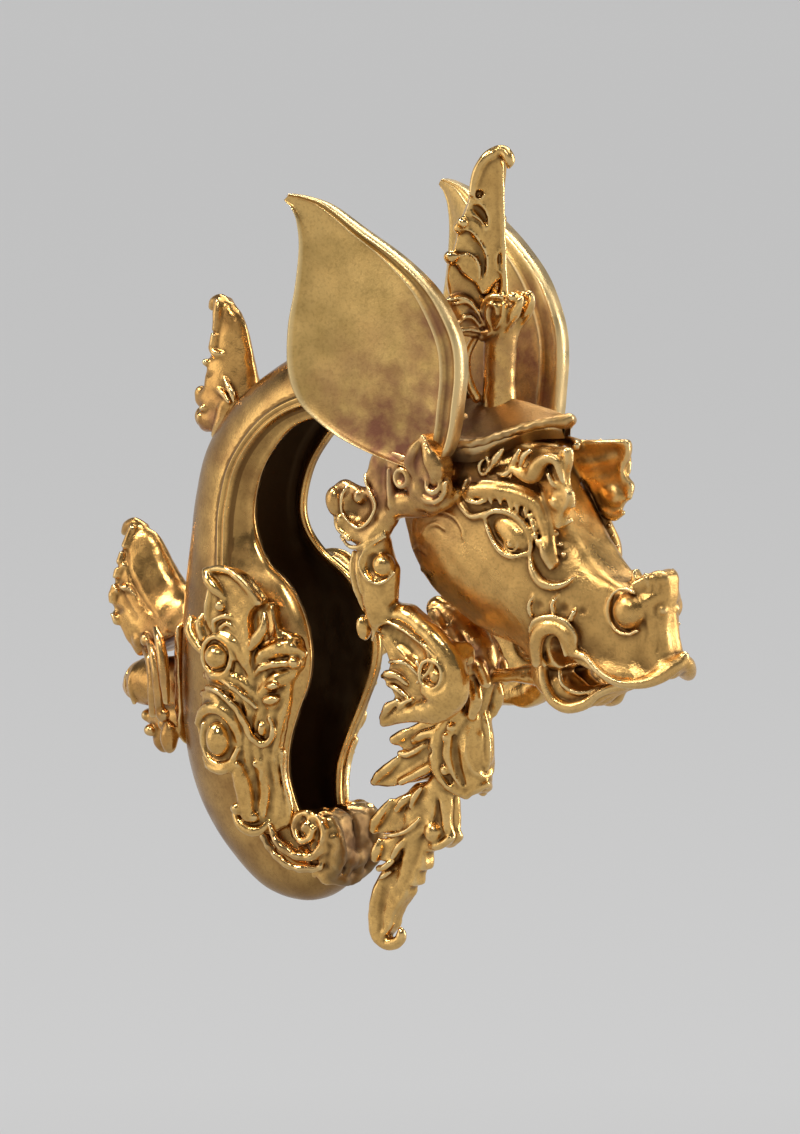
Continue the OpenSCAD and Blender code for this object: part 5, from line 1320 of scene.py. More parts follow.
def last_lobes(clay):
    """Lobes over the left edge of the last leaf: rolled ends that lie close against the blade."""
    clay.add(
        Plate([[5.6, -20.4], [4.2, -21.0], [2.9, -21.6], [2.4, -22.1], [1.5, -23.3], [1.8, -23.7],
               [3.2, -23.5], [2.7, -23.8], [2.1, -24.0], [1.7, -25.0], [2.1, -25.3], [2.9, -25.0],
               [3.6, -24.0], [5.4, -23.2], [6.0, -21.6]], -0.85, 0, 0.25), blend=0.1)
    clay.add(
        Stroke([[2.75, -0.8, -21.75, 0.2], [2.3, -0.95, -22.4, 0.34], [1.75, -0.95, -23.0, 0.36],
                [1.5, -0.9, -23.45, 0.28]]),
        Stroke([[2.0, -0.85, -24.1, 0.22], [1.85, -0.95, -24.6, 0.36], [1.65, -0.9, -25.05, 0.3]]),
        Stroke([[4.4, -0.95, -21.2, 0.14], [3.9, -1.1, -21.6, 0.26], [3.4, -1.05, -22.1, 0.2]]),
        Stroke([[5.2, -1.0, -20.7, 0.12], [4.8, -1.1, -21.2, 0.22], [4.5, -1.05, -21.8, 0.14]]), blend=0.08)
    clay.cut(
        Stroke([[2.9, -1.05, -22.0, 0.08], [2.5, -1.1, -22.7, 0.1], [2.1, -1.05, -23.3, 0.08]]),
        Stroke([[2.5, -1.05, -24.1, 0.06], [2.3, -1.05, -24.6, 0.08], [2.1, -1.0, -25.1, 0.06]]),
        blend=0.06)
    clay.add(
        Stroke([[5.0, -0.95, -22.5, 0.1], [4.2, -1.05, -23.2, 0.14], [3.3, -1.0, -23.55, 0.14],
                [2.3, -0.95, -23.75, 0.1]]),
        Stroke([[4.0, -0.8, -23.7, 0.12], [3.4, -0.95, -24.3, 0.22], [3.0, -0.95, -24.9, 0.16]]),
        Stroke([[2.9, -0.75, -25.1, 0.12], [2.4, -0.9, -25.5, 0.2], [1.85, -0.8, -25.7, 0.2]]),
        Stroke([[2.6, -0.7, -25.8, 0.1], [2.1, -0.8, -26.1, 0.16], [1.75, -0.65, -26.3, 0.1]]), blend=0.06)


def last_bud(clay):
    """Bud to the right of the last leaf, between two narrow leaves."""
    clay.add(
        Plate([[5.4, -20.4], [6.7, -20.6], [6.85, -21.6], [6.8, -22.6], [7.05, -23.4], [6.5, -23.9],
               [5.8, -24.05], [5.2, -23.4]], -0.5, 0, 0.2),
        Stroke([[6.35, -0.45, -21.0, 0.3], [6.55, -0.45, -22.1, 0.26], [6.6, -0.45, -22.9, 0.2]]),
        Stroke([[5.5, -0.5, -24.0, 0.18], [6.0, -0.55, -23.95, 0.24], [6.5, -0.5, -23.7, 0.22],
                [6.85, -0.45, -23.45, 0.16]]), Knob(5.75, -0.6, -23.2, 0.56, 0.5, 0.58), blend=0.1)
    clay.cut(
        Stroke([[5.85, -1.2, -22.8, 0.05], [6.05, -1.25, -23.2, 0.08], [6.0, -1.2, -23.6, 0.05]]),
        Stroke([[6.2, -1.1, -22.8, 0.05], [6.4, -1.15, -23.2, 0.08], [6.35, -1.1, -23.6, 0.05]]),
        Stroke([[5.3, -1.0, -22.9, 0.1], [5.4, -1.0, -23.5, 0.1], [5.75, -1.0, -23.95, 0.08]]), blend=0.06)


def pendant():
    clay = Clay([0.2, -3.0, -30.9], [13.6, 0, -9.8], mirrored=True)
    jaw_leaves(clay)
    scroll_bud(clay)
    rear_leaf(clay)
    last_leaf(clay)
    last_lobes(clay)
    last_bud(clay)
    clay.roughen(0.025, 1.1)
    return make("pendant_leaves", *clay.skin(), "pendant")


# Side mask: outline in the side view
side_outline = [
    [-7.9, -9.9], [-7.3, -9.3], [-5.8, -9.8], [-4.3, -10.8], [-3.6, -10.9], [-3.1, -12.2], [-1.9, -12.6],
    [-1.4, -13.8], [-2.3, -15.2], [-2.6, -16.6], [-3.0, -17.8], [-3.2, -19.6], [-3.4, -21.4], [-3.3, -23.3],
    [-4.6, -24.2], [-5.9, -23.6], [-6.0, -22.0], [-6.4, -20.6], [-8.0, -20.5], [-8.9, -19.3], [-8.9, -17.6],
    [-8.3, -16.4], [-7.9, -15.6], [-8.4, -14.4], [-9.0, -13.2], [-9.5, -12.2], [-8.2, -12.0]]


def mask_flame(clay, on):
    """Flame on top: flat field, roll down its back edge, folded front edge, ball over two arches."""
    clay.add(
        Plate([[-7.7, -9.2], [-7.5, -10.2], [-7.75, -11.1], [-7.9, -12.0], [-7.4, -12.8], [-5.4, -14.3],
               [-4.7, -14.4], [-4.5, -13.0], [-4.7, -12.0], [-4.5, -11.3], [-3.9, -10.7], [-4.4, -10.1],
               [-5.1, -9.5], [-5.9, -9.1], [-6.9, -9.0]], -4.75, -3.6, 0.3), blend=0.15)
    clay.add(
        Stroke([[-7.8, -4.75, -9.3, 0.24], [-7.35, -4.9, -9.75, 0.36], [-6.8, -4.9, -10.2, 0.34],
                [-6.35, -4.8, -10.65, 0.16]]),
        Stroke([[-7.6, -4.7, -9.2, 0.2], [-6.8, -4.75, -9.05, 0.24], [-5.9, -4.75, -9.1, 0.24],
                [-5.1, -4.75, -9.5, 0.24], [-4.4, -4.65, -10.1, 0.24], [-3.9, -4.5, -10.7, 0.18]]),
        Stroke([[-7.5, -4.75, -10.3, 0.14], [-7.65, -4.8, -11.1, 0.18], [-7.75, -4.75, -11.9, 0.16]]),
        blend=0.12)
    clay.cut(
        Stroke([[-6.1, -5.15, -9.9, 0.2], [-5.4, -5.15, -10.4, 0.26], [-5.2, -5.15, -11.1, 0.2]]),
        Stroke([[-4.25, -4.95, -11.0, 0.2], [-4.35, -5.0, -11.7, 0.3], [-4.15, -4.95, -12.5, 0.24],
                [-4.3, -4.9, -13.4, 0.14]]), blend=0.15)
    clay.add(
        Knob(-6.55, -4.85, -11.1, 0.34),
        on.lay([[-7.15, -12.55, 0.6, 0.13], [-6.95, -11.98, 0.76, 0.16], [-6.15, -11.66, 0.84, 0.17],
                [-5.35, -11.95, 0.78, 0.16], [-5.0, -12.6, 0.66, 0.14]]),
        on.lay([[-6.65, -12.4, 0.66, 0.11], [-6.1, -12.1, 0.78, 0.13], [-5.6, -12.45, 0.7, 0.11]]),
        on.lay([[-6.6, -12.9, 0.42, 0.4], [-5.75, -13.2, 0.5, 0.44], [-5.15, -13.9, 0.48, 0.4],
                [-4.85, -14.6, 0.4, 0.26], [-4.8, -15.2, 0.3, 0.12]]), blend=0.07)


def mask_lobes(clay, on):
    """Small lobe behind the flame, pitted lobes and a pointed petal in front of it."""
    clay.add(
        Stroke([[-9.4, -4.25, -12.2, 0.24], [-9.3, -4.4, -12.8, 0.38], [-8.85, -4.5, -13.4, 0.36],
                [-8.2, -4.6, -13.95, 0.22]]),
        Stroke([[-8.4, -4.3, -11.85, 0.14], [-8.5, -4.5, -12.4, 0.28], [-8.2, -4.6, -13.1, 0.26]]),
        blend=0.08)
    clay.add(
        Stroke([[-4.45, -4.55, -13.3, 0.24], [-3.9, -4.65, -12.7, 0.34], [-3.45, -4.55, -12.0, 0.28],
                [-3.55, -4.4, -11.3, 0.14]]),
        on.lay([[-4.7, -14.7, 0.2, 0.24], [-3.9, -13.7, 0.3, 0.5], [-3.0, -13.3, 0.3, 0.56],
                [-2.2, -13.2, 0.3, 0.46], [-1.7, -13.5, 0.2, 0.3]]), blend=0.08)
    clay.cut(on.lay([[-4.35, -14.55, 0.75, 0.12], [-3.6, -13.95, 0.9, 0.16], [-2.8, -13.72, 0.86, 0.15],
                     [-2.2, -13.7, 0.7, 0.1]]), blend=0.08)
    clay.add(
        on.lay([[-4.6, -15.0, 0.4, 0.13], [-3.9, -14.45, 0.62, 0.2], [-3.1, -14.18, 0.66, 0.22],
                [-2.4, -14.1, 0.6, 0.2]]), on.knob(-1.95, -14.0, 0.5, 0.38),
        on.lay([[-4.3, -16.1, 0.2, 0.3], [-3.5, -15.4, 0.3, 0.5], [-2.7, -14.9, 0.3, 0.45],
                [-2.2, -14.7, 0.2, 0.25]]),
        on.lay([[-4.3, -16.8, 0.1, 0.3], [-3.5, -16.4, 0.2, 0.45], [-2.9, -15.9, 0.2, 0.3]]), blend=0.08)
    clay.add(on.knob(-3.15, -15.4, 0.72, 0.5, 0.34, 0.25, 12),
             on.knob(-3.4, -16.25, 0.6, 0.6, 0.36, 0.3, 12), blend=0.04)


def upper_eye(clay, on):
    """Upper eye: large ball in a crater with a raised edge."""
    clay.cut(on.knob(-6.9, -14.05, 0.75, 1.05, 0.55, 1.0), blend=0.08)
    clay.add(on.knob(-6.9, -14.05, 0.3, 0.84, 0.85, 0.76), blend=0.03)
    upper = on.knob(-6.9, -14.05, 0.5, 0.5).middle
    clay.add(coil(*upper, 1.16, 1.08, 0, 360, 0.16, 0.16), on.knob(-7.0, -15.15, 0.45, 0.42, 0.3, 0.2),
             blend=0.06)


def mask_ridges(clay, on):
    """Slanting ridges; the second ends in a hanging loop round a small pyramid."""
    clay.add(
        on.lay([[-8.2, -15.3, 0.1, 0.26], [-7.2, -15.2, 0.3, 0.34], [-6.2, -15.2, 0.35, 0.36],
                [-5.2, -15.5, 0.35, 0.34], [-4.5, -16.2, 0.3, 0.26]]),
        on.lay([[-8.5, -16.4, 0.1, 0.26], [-7.4, -16.4, 0.25, 0.36], [-6.4, -16.9, 0.3, 0.36],
                [-5.7, -17.8, 0.25, 0.3]]), blend=0.12)
    clay.cut(
        on.lay([[-5.9, -15.85, 0.6, 0.14], [-5.2, -16.3, 0.66, 0.26], [-4.7, -16.95, 0.6, 0.2]]), blend=0.1)
    clay.add(
        on.lay([[-6.5, -15.35, 0.6, 0.12], [-5.9, -15.55, 0.7, 0.17], [-5.2, -16.0, 0.7, 0.18],
                [-4.4, -16.75, 0.55, 0.14]]),
        on.lay([[-7.9, -15.95, 0.4, 0.14], [-6.9, -15.95, 0.62, 0.19], [-6.1, -16.35, 0.7, 0.2],
                [-5.5, -16.95, 0.7, 0.22], [-5.1, -17.7, 0.7, 0.22], [-4.85, -18.4, 0.7, 0.22],
                [-4.3, -18.9, 0.68, 0.22], [-3.75, -18.6, 0.66, 0.2], [-3.5, -17.95, 0.62, 0.17],
                [-3.7, -17.35, 0.5, 0.13]]), blend=0.06)
    clay.cut(on.knob(-4.2, -18.0, 0.75, 0.45, 0.34, 0.6), blend=0.06)
    clay.add(on.knob(-4.25, -18.0, 0.45, 0.28, 0.34, 0.42), blend=0.03)


def lower_eye(clay, on):
    """Lower eye: hood, tall ball in a crater, ring and lip below it."""
    clay.cut(on.knob(-7.05, -18.75, 0.75, 0.98, 0.52, 1.25), blend=0.08)
    clay.add(
        on.lay([[-8.9, -18.1, 0.3, 0.24], [-8.1, -17.3, 0.45, 0.34], [-7.0, -17.0, 0.5, 0.36],
                [-6.2, -17.4, 0.5, 0.34], [-5.8, -18.1, 0.46, 0.3], [-5.75, -18.9, 0.4, 0.22]]),
        on.lay([[-8.2, -18.1, 0.5, 0.14], [-8.4, -19.1, 0.46, 0.17], [-7.95, -20.0, 0.5, 0.2],
                [-7.1, -20.35, 0.55, 0.22], [-6.3, -20.1, 0.55, 0.2], [-5.85, -19.3, 0.5, 0.16]]),
        blend=0.07)
    clay.add(on.knob(-7.05, -18.8, 0.3, 0.78, 0.84, 1.02), blend=0.03)
    clay.add(on.lay([[-8.4, -20.0, 0.4, 0.16], [-7.8, -20.5, 0.55, 0.24], [-6.8, -20.6, 0.62, 0.26],
                     [-5.95, -20.2, 0.6, 0.24]]), on.knob(-8.1, -20.5, 0.5, 0.2), blend=0.06)


def mask_snout(clay, on):
    """Snout: broad bright ridge beside a faceted hollow, end balls and curved lip."""
    clay.add(
        on.lay([[-6.0, -20.5, 0.35, 0.46], [-5.85, -21.2, 0.45, 0.54], [-5.7, -22.2, 0.45, 0.54],
                [-5.6, -23.1, 0.4, 0.48]]),
        on.lay([[-4.75, -20.0, 0.4, 0.3], [-4.75, -21.2, 0.35, 0.34], [-4.85, -22.4, 0.35, 0.34],
                [-5.0, -23.2, 0.3, 0.3]]), blend=0.1)
    clay.cut(on.lay([[-4.95, -20.55, 0.85, 0.2], [-4.9, -21.4, 0.86, 0.26], [-4.95, -22.2, 0.84, 0.24],
                     [-5.0, -22.8, 0.8, 0.16]]), blend=0.05)
    clay.add(
        on.lay([[-4.95, -20.1, 0.6, 0.13], [-4.6, -20.5, 0.66, 0.12], [-4.75, -21.0, 0.62, 0.11],
                [-4.5, -21.5, 0.6, 0.11], [-4.55, -22.3, 0.6, 0.12], [-4.7, -23.1, 0.6, 0.12]]),
        on.knob(-6.2, -22.8, 0.5, 0.44, 0.42, 0.36), on.knob(-5.3, -23.2, 0.55, 0.42, 0.36, 0.34),
        on.lay([[-6.6, -23.2, 0.4, 0.2], [-6.15, -23.75, 0.5, 0.3], [-5.5, -24.05, 0.5, 0.32],
                [-4.9, -23.95, 0.48, 0.28], [-4.5, -23.5, 0.4, 0.2]]), blend=0.06)


def mask_bands(clay, on):
    """Bands along the rim, the inner one finely pitted."""
    clay.add(
        on.lay([[-4.2, -19.6, 0.3, 0.16], [-4.1, -21.0, 0.3, 0.18], [-4.15, -22.4, 0.3, 0.18],
                [-4.35, -23.6, 0.26, 0.14]]),
        on.lay([[-3.5, -19.4, 0.3, 0.24], [-3.55, -20.6, 0.28, 0.26], [-3.6, -21.8, 0.26, 0.24],
                [-3.6, -23.0, 0.22, 0.22]]), blend=0.08)
    for i in range(14):
        clay.cut(on.knob(-3.5 - 0.01 * i, -19.5 - 0.26 * i, 0.56, 0.09, 0.07, 0.06), blend=0.03)


def masks():
    clay = Clay([-10.2, -6.4, -24.9], [-0.7, -1.8, -8.3])
    on = hoop_body
    # Sheet that follows the hoop, kept to the outline
    clay.coat(on, MASK_SHEET)
    clay.keep(Plate(side_outline, -9, 0, 0.05), 0.3)
    # The sheet stops inside the side view of the hoop, and nothing goes far beyond it
    _, (x, _, z) = clay.part(clay.low, clay.low + clay.WHOLE)
    rim = ring_distance(x[:, 0], z[0], on.ring)[:, None, :]
    clay.distance[:] = soft_max(clay.distance, rim + 0.2, 0.15)
    mask_flame(clay, on)
    mask_lobes(clay, on)
    upper_eye(clay, on)
    mask_ridges(clay, on)
    lower_eye(clay, on)
    mask_snout(clay, on)
    mask_bands(clay, on)
    clay.cut(on, blend=0.03, grow=-RELIEF_GAP)
    clay.distance[:] = soft_max(clay.distance, rim - 0.1, 0.1)
    clay.roughen(0.02, 1.0)
    return both_sides("mask_relief", *clay.skin(), "mask")


def back_flame(clay):
    """Tall flame: folded leaf with a smooth back; its front is hollow on both sides of a rib."""
    flame = Body(side_sections(back_flame_rows, 10), soft=0.5)
    clay.add(flame, blend=0.2)
    clay.add(
        flame.lay([[-17.6, -8.2, 0.0, 0.3], [-17.78, -9.0, 0.0, 0.28], [-17.8, -9.7, 0.0, 0.26],
                   [-17.9, -10.7, 0.0, 0.26], [-18.0, -11.6, 0.0, 0.26], [-18.0, -12.5, 0.0, 0.26],
                   [-17.6, -13.4, 0.0, 0.24]]),
        Stroke([[-17.4, 0, -8.2, 0.42], [-17.9, 0, -8.0, 0.42], [-18.45, 0, -8.15, 0.34],
                [-18.75, 0, -8.5, 0.24]]), blend=0.1)
    clay.cut(
        flame.lay([[-18.2, -9.3, 0.1, 0.16], [-17.7, -9.35, 0.14, 0.12]]),
        flame.lay([[-18.4, -10.25, 0.1, 0.2], [-17.8, -10.2, 0.14, 0.16]]),
        flame.lay([[-18.5, -11.2, 0.1, 0.2], [-17.8, -11.1, 0.12, 0.18], [-17.2, -11.0, 0.16, 0.08]]),
        flame.lay([[-18.4, -12.6, 0.1, 0.26], [-17.6, -12.75, 0.1, 0.26], [-16.9, -12.6, 0.14, 0.14]]),
        blend=0.1)
    clay.add(
        flame.lay([[-18.0, -10.6, -0.02, 0.18], [-17.4, -10.2, 0.0, 0.16], [-16.9, -10.4, -0.04, 0.1]]),
        flame.lay([[-18.1, -11.9, 0.0, 0.24], [-17.4, -11.5, 0.03, 0.24], [-16.7, -11.5, 0.0, 0.18],
                   [-16.1, -11.9, -0.05, 0.1]]), flame.knob(-17.75, -9.1, 0.0, 0.22),
        flame.knob(-17.85, -10.05, 0.0, 0.24), flame.knob(-18.0, -12.0, 0.02, 0.26), blend=0.08)
    clay.cut(Stroke([[-19.0, -0.55, -9.0, 0.2], [-19.0, -0.85, -10.2, 0.42], [-18.9, -0.95, -11.8, 0.5],
                     [-18.4, -1.0, -13.4, 0.5]]), blend=0.15)
    clay.cut(
        flame.lay([[-17.5, -9.4, 0.1, 0.14], [-16.9, -10.6, 0.12, 0.2], [-15.9, -11.8, 0.12, 0.22],
                   [-14.6, -12.8, 0.12, 0.14]]),
        flame.lay([[-17.6, -11.3, 0.1, 0.12], [-16.9, -12.2, 0.12, 0.2], [-15.9, -13.0, 0.12, 0.16]]),
        blend=0.15)


def back_snout(clay):
    """Ball snout, and the lobes under it."""
    # Two small balls where the flame meets the snout
    clay.add(Knob(-15.9, -1.75, -14.3, 0.42), Knob(-15.0, -2.1, -14.2, 0.4), blend=0.1)
    clay.cut(Knob(-15.5, -2.2, -14.75, 0.3), blend=0.1)
    # Snout: barrel with a blunt end
    clay.add(Stroke([[-12.6, 0, -16.8, 1.7], [-14.6, 0, -16.9, 1.55], [-16.2, 0, -17.0, 1.45],
                     [-17.0, 0, -17.1, 1.35], [-17.5, 0, -17.3, 1.0]]), blend=0.15)
    clay.add(Knob(-18.0, 0, -17.4, 0.72, 0.7, 0.8), blend=0.1)
    clay.add(Stroke([[-17.0, -0.3, -15.85, 0.14], [-17.1, -1.1, -16.5, 0.16], [-17.1, -1.3, -17.3, 0.16],
                     [-17.1, -1.0, -18.2, 0.15]]), Knob(-17.75, -0.55, -16.95, 0.26), blend=0.08)
    clay.cut(Stroke([[-17.5, -0.9, -16.4, 0.1], [-17.6, -1.05, -17.2, 0.12], [-17.55, -0.8, -18.0, 0.1]]),
             blend=0.08)
    # Lobes under the snout
    clay.add(
        Stroke([[-13.4, 0, -18.6, 1.1], [-15.0, 0, -19.0, 0.95], [-16.2, 0, -19.1, 0.6],
                [-16.9, 0, -19.0, 0.35]]),
        Stroke([[-15.2, 0, -19.6, 0.8], [-15.6, 0, -20.2, 0.72], [-15.6, 0, -20.6, 0.5]]), blend=0.14)
    clay.add(Knob(-16.75, -0.3, -19.0, 0.34), Knob(-16.0, -0.75, -19.75, 0.42, 0.4, 0.36), blend=0.06)
    clay.cut(Stroke([[-16.4, -1.0, -19.35, 0.1], [-15.4, -1.1, -19.35, 0.14], [-14.4, -1.2, -19.0, 0.12]]),
             blend=0.08)


def back_collar(clay):
    """Collar: three thick curved ridges on each side, ending in lobes."""
    ridges = [
        [[-15.2, -1.9, -14.9, 0.26], [-14.5, -2.3, -15.3, 0.34], [-14.1, -2.5, -16.2, 0.36],
         [-14.1, -2.5, -17.4, 0.34], [-14.4, -2.2, -18.4, 0.26]],
        [[-14.6, -2.3, -14.3, 0.22], [-13.8, -2.75, -14.8, 0.32], [-13.35, -2.95, -15.9, 0.34],
         [-13.2, -2.95, -17.2, 0.32], [-13.3, -2.8, -18.2, 0.24]],
        [[-13.9, -2.5, -13.4, 0.2], [-13.1, -3.0, -14.0, 0.3], [-12.6, -3.25, -15.2, 0.32],
         [-12.4, -3.3, -16.4, 0.28], [-12.4, -3.2, -17.4, 0.2]]]
    for rows in ridges:
        clay.add(Stroke(rows), blend=0.1)
    clay.add(Knob(-13.1, -2.75, -18.3, 0.42, 0.36, 0.42), Knob(-12.95, -2.4, -19.6, 0.55, 0.5, 0.95),
             Knob(-13.5, -2.2, -18.9, 0.4), blend=0.08)


def back_mask():
    clay = Clay([-20.1, -4.2, -22.0], [-11.0, 0, -7.4], mirrored=True)
    # Sheet that follows the back of the hoop
    clay.coat(hoop_body, BACK_SHEET)
    clay.keep(Plate([[-16.0, -12.6], [-12.2, -13.0], [-11.9, -18.0], [-12.4, -20.4], [-16.0, -20.4]], -2.6,
                    2.6, 0.05, 1), 0.3)
    back_flame(clay)
    back_snout(clay)
    back_collar(clay)
    clay.cut(hoop_body, blend=0.03, grow=-RELIEF_GAP)
    clay.roughen(0.02, 1.2)
    return make("back_mask_relief", *clay.skin(), "back_mask")


def shoulder():
    clay = Clay([-13.2, -3.0, -3.4], [-7.4, 0, 6.9], mirrored=True)
    flame = Body(side_sections(shoulder_rows, 10), soft=0.5)
    clay.add(flame, blend=0.2)
    # Roll along the near edge up to the curled tip, with three beads below it
    clay.add(
        flame.lay([[-10.75, 3.9, 0.0, 0.22], [-10.72, 4.4, 0.0, 0.28], [-10.72, 5.0, 0.0, 0.32],
                   [-10.85, 5.4, 0.0, 0.3]]),
        Stroke([[-10.6, 0, 5.2, 0.42], [-11.0, 0, 5.45, 0.42], [-11.45, 0, 5.4, 0.36],
                [-11.7, 0, 5.1, 0.24]]), flame.lay([[-10.72, 3.6, 0.02, 0.26], [-10.76, 3.1, 0.02, 0.28]]),
        flame.lay([[-10.95, 2.9, 0.0, 0.2], [-10.5, 2.62, 0.03, 0.22], [-10.0, 2.6, 0.0, 0.14]]),
        flame.knob(-11.2, 2.05, 0.02, 0.24), blend=0.08)
    clay.cut(
        flame.lay([[-11.3, 3.78, 0.1, 0.12], [-10.6, 3.78, 0.14, 0.08]]),
        flame.lay([[-11.4, 2.5, 0.1, 0.16], [-10.8, 2.25, 0.12, 0.16], [-10.2, 2.2, 0.14, 0.1]]),
        flame.lay([[-11.6, 1.5, 0.1, 0.2], [-10.9, 1.4, 0.12, 0.2], [-10.3, 1.5, 0.14, 0.1]]), blend=0.08)
    clay.cut(Stroke([[-12.0, -0.45, 4.2, 0.24], [-11.9, -0.65, 3.0, 0.4], [-12.1, -0.75, 1.8, 0.44]]),
             blend=0.12)
    # Two leaflets over the volute
    clay.add(
        Stroke([[-10.7, -1.0, 0.75, 0.14], [-10.2, -1.15, 0.6, 0.2], [-9.6, -1.3, 0.35, 0.2],
                [-9.1, -1.4, -0.05, 0.1]]),
        Stroke([[-9.75, -1.1, 1.25, 0.12], [-9.3, -1.25, 0.85, 0.18], [-8.9, -1.35, 0.45, 0.18],
                [-8.7, -1.4, 0.0, 0.1]]), blend=0.06)
    # Volute at the foot, rolled under
    clay.add(
        Stroke([[-10.0, -0.4, -0.4, 0.9], [-11.0, -0.5, -0.1, 0.85], [-11.7, -0.6, -0.1, 0.6]]),
        Stroke([[-10.4, -0.5, -1.2, 0.9], [-11.2, -0.6, -1.2, 0.8], [-11.6, -0.5, -1.5, 0.55]]), blend=0.12)
    clay.add(Knob(-11.9, -0.7, 0.2, 0.42), Knob(-12.1, -0.5, -1.2, 0.4, 0.4, 0.6),
             Knob(-11.5, -1.2, -1.15, 0.3, 0.26, 0.4), Knob(-11.2, -1.3, -0.55, 0.3, 0.25, 0.2), blend=0.06)
    clay.cut(Stroke([[-12.2, -1.2, -0.4, 0.12], [-11.6, -1.35, -0.75, 0.12], [-11.2, -1.45, -0.95, 0.06]]),
             blend=0.06)
    clay.add(
        Stroke([[-9.6, -1.0, -0.3, 0.5], [-9.8, -1.3, -1.2, 0.4], [-10.2, -1.3, -2.0, 0.3]]), blend=0.1)
    clay.cut(hoop_body, blend=0.03, grow=-SHOULDER_GAP)
    clay.roughen(0.02, 1.1)
    return make("shoulder_leaf", *clay.skin(), "shoulder_crest")


# Gold: painted highlights on raised edges, painted shade in the hollows and inside the channel, mottled
# tarnish

bright = (0.90, 0.55, 0.18)
pale = (0.86, 0.51, 0.165)
warm = (0.62, 0.34, 0.095)
shade = (0.15, 0.07, 0.022)
# Painted highlight for raised edges
painted_highlight = (1.0, 0.74, 0.36)
rosy = (0.24, 0.085, 0.06)
# Painted shade for the inside of the hoop's channel
inside_shade_colour = (0.16, 0.10, 0.05)
# Mark where each layer starts and mark where it is full: the hollow and deep layers paint shade, the edge
# layer paints a highlight, the last one paints shade inside the channel
HOLLOW, DEEP, EDGE, INSIDE_SHADE = (0.03, -0.26), (0.02, -0.4), (0.13, 0.48), (0.2, 0.75)


def gold(name, clean, dull, dark=shade, rough=0.24, mottle=0.5, pits=0.5, tarnish_and_shade_share=0.8):
    """Gold from its clean, dull and dark colours; the dark colour is also the painted shade in the hollows.
    mottle: share of dull patches. pits: their depth.
    """
    material = bpy.data.materials.new(name)
    material.use_nodes = True
    tree = material.node_tree
    nodes, links = tree.nodes, tree.links
    shader = nodes["Principled BSDF"]
    shader.inputs["Metallic"].default_value = 1.0
    shader.inputs["IOR"].default_value = 1.45

    def node(kind, **settings):
        new = nodes.new(kind)
        for key, value in settings.items():
            setattr(new, key, value)
        return new

    def put(socket, value):
        """A number, a colour or another node's output goes into a socket."""
        if isinstance(value, tuple):
            socket.default_value = (*value, 1)
        elif isinstance(value, float):
            socket.default_value = value
        else:
            links.new(value, socket)

    def ranged(value, low, high, to_low=0.0, to_high=1.0):
        span = node("ShaderNodeMapRange")
        for socket, number in zip(("From Min", "From Max", "To Min", "To Max"), (low, high, to_low, to_high)):
            span.inputs[socket].default_value = number
        put(span.inputs["Value"], value)
        return span.outputs["Result"]

    def mark(layer, low, high):
        return ranged(node("ShaderNodeAttribute", attribute_name=layer).outputs["Fac"], low, high)

    where = node("ShaderNodeTexCoord")

    def noise(scale, low, high, detail=3.0, **to):
        new = node("ShaderNodeTexNoise")
        new.inputs["Scale"].default_value = scale
        new.inputs["Detail"].default_value = detail
        put(new.inputs["Vector"], where.outputs["Object"])
        return ranged(new.outputs["Fac"], low, high, **to)

    def reckon(kind, a, b):
        new = node("ShaderNodeMath", operation=kind)
        new.use_clamp = True
        put(new.inputs[0], a)
        put(new.inputs[1], b)
        return new.outputs[0]

    def mix(share, first, second):
        new = node("ShaderNodeMix", data_type="RGBA")
        put(new.inputs["Factor"], share)
        put(new.inputs["A"], first)
        put(new.inputs["B"], second)
        return new.outputs["Result"]

    hollow, deep, edge = mark("edge", *HOLLOW), mark("depth", *DEEP), mark("edge", *EDGE)
    inside_shade = mark("inside", *INSIDE_SHADE)
    spots = reckon("MULTIPLY", mark("tarnish_and_shade", 0.0, 1.0), noise(700.0, 0.3, 0.62, 4.0))
    # Over the clean colour: dull patches, dark specks, painted shade in the hollows and deep places, tarnish
    # spots (one partly painted shade under the ear), painted highlight on raised edges, painted shade inside
    # the channel
    layers = [
        (noise(420.0, 0.42, 0.66, 4.0), mottle, dull), (noise(5200.0, 0.48, 0.68), 0.22, dark),
        (hollow, 0.88, dark), (deep, 0.9, dark), (spots, tarnish_and_shade_share, rosy), (edge, 0.9, painted_highlight),
        (inside_shade, 0.97, inside_shade_colour)]
    colour = clean
    for amount, share, tint in layers:
        colour = mix(reckon("MULTIPLY", amount, share), colour, tint)
    put(shader.inputs["Base Color"], colour)
    grey = noise(900.0, 0.3, 0.7, to_low=rough - 0.05, to_high=rough + 0.12)
    wear = [("ADD", spots, 0.2), ("ADD", hollow, 0.12), ("SUBTRACT", edge, 0.1), ("ADD", inside_shade, 0.35)]
    for kind, amount, share in wear:
        grey = reckon(kind, grey, reckon("MULTIPLY", amount, share))
    put(shader.inputs["Roughness"], grey)
    bump = node("ShaderNodeBump")
    bump.inputs["Strength"].default_value = 0.3
    bump.inputs["Distance"].default_value = 0.03 * MM
    put(bump.inputs["Height"], reckon("MULTIPLY", noise(9000.0, 0.3, 0.7), pits))
    put(shader.inputs["Normal"], bump.outputs["Normal"])
    return material


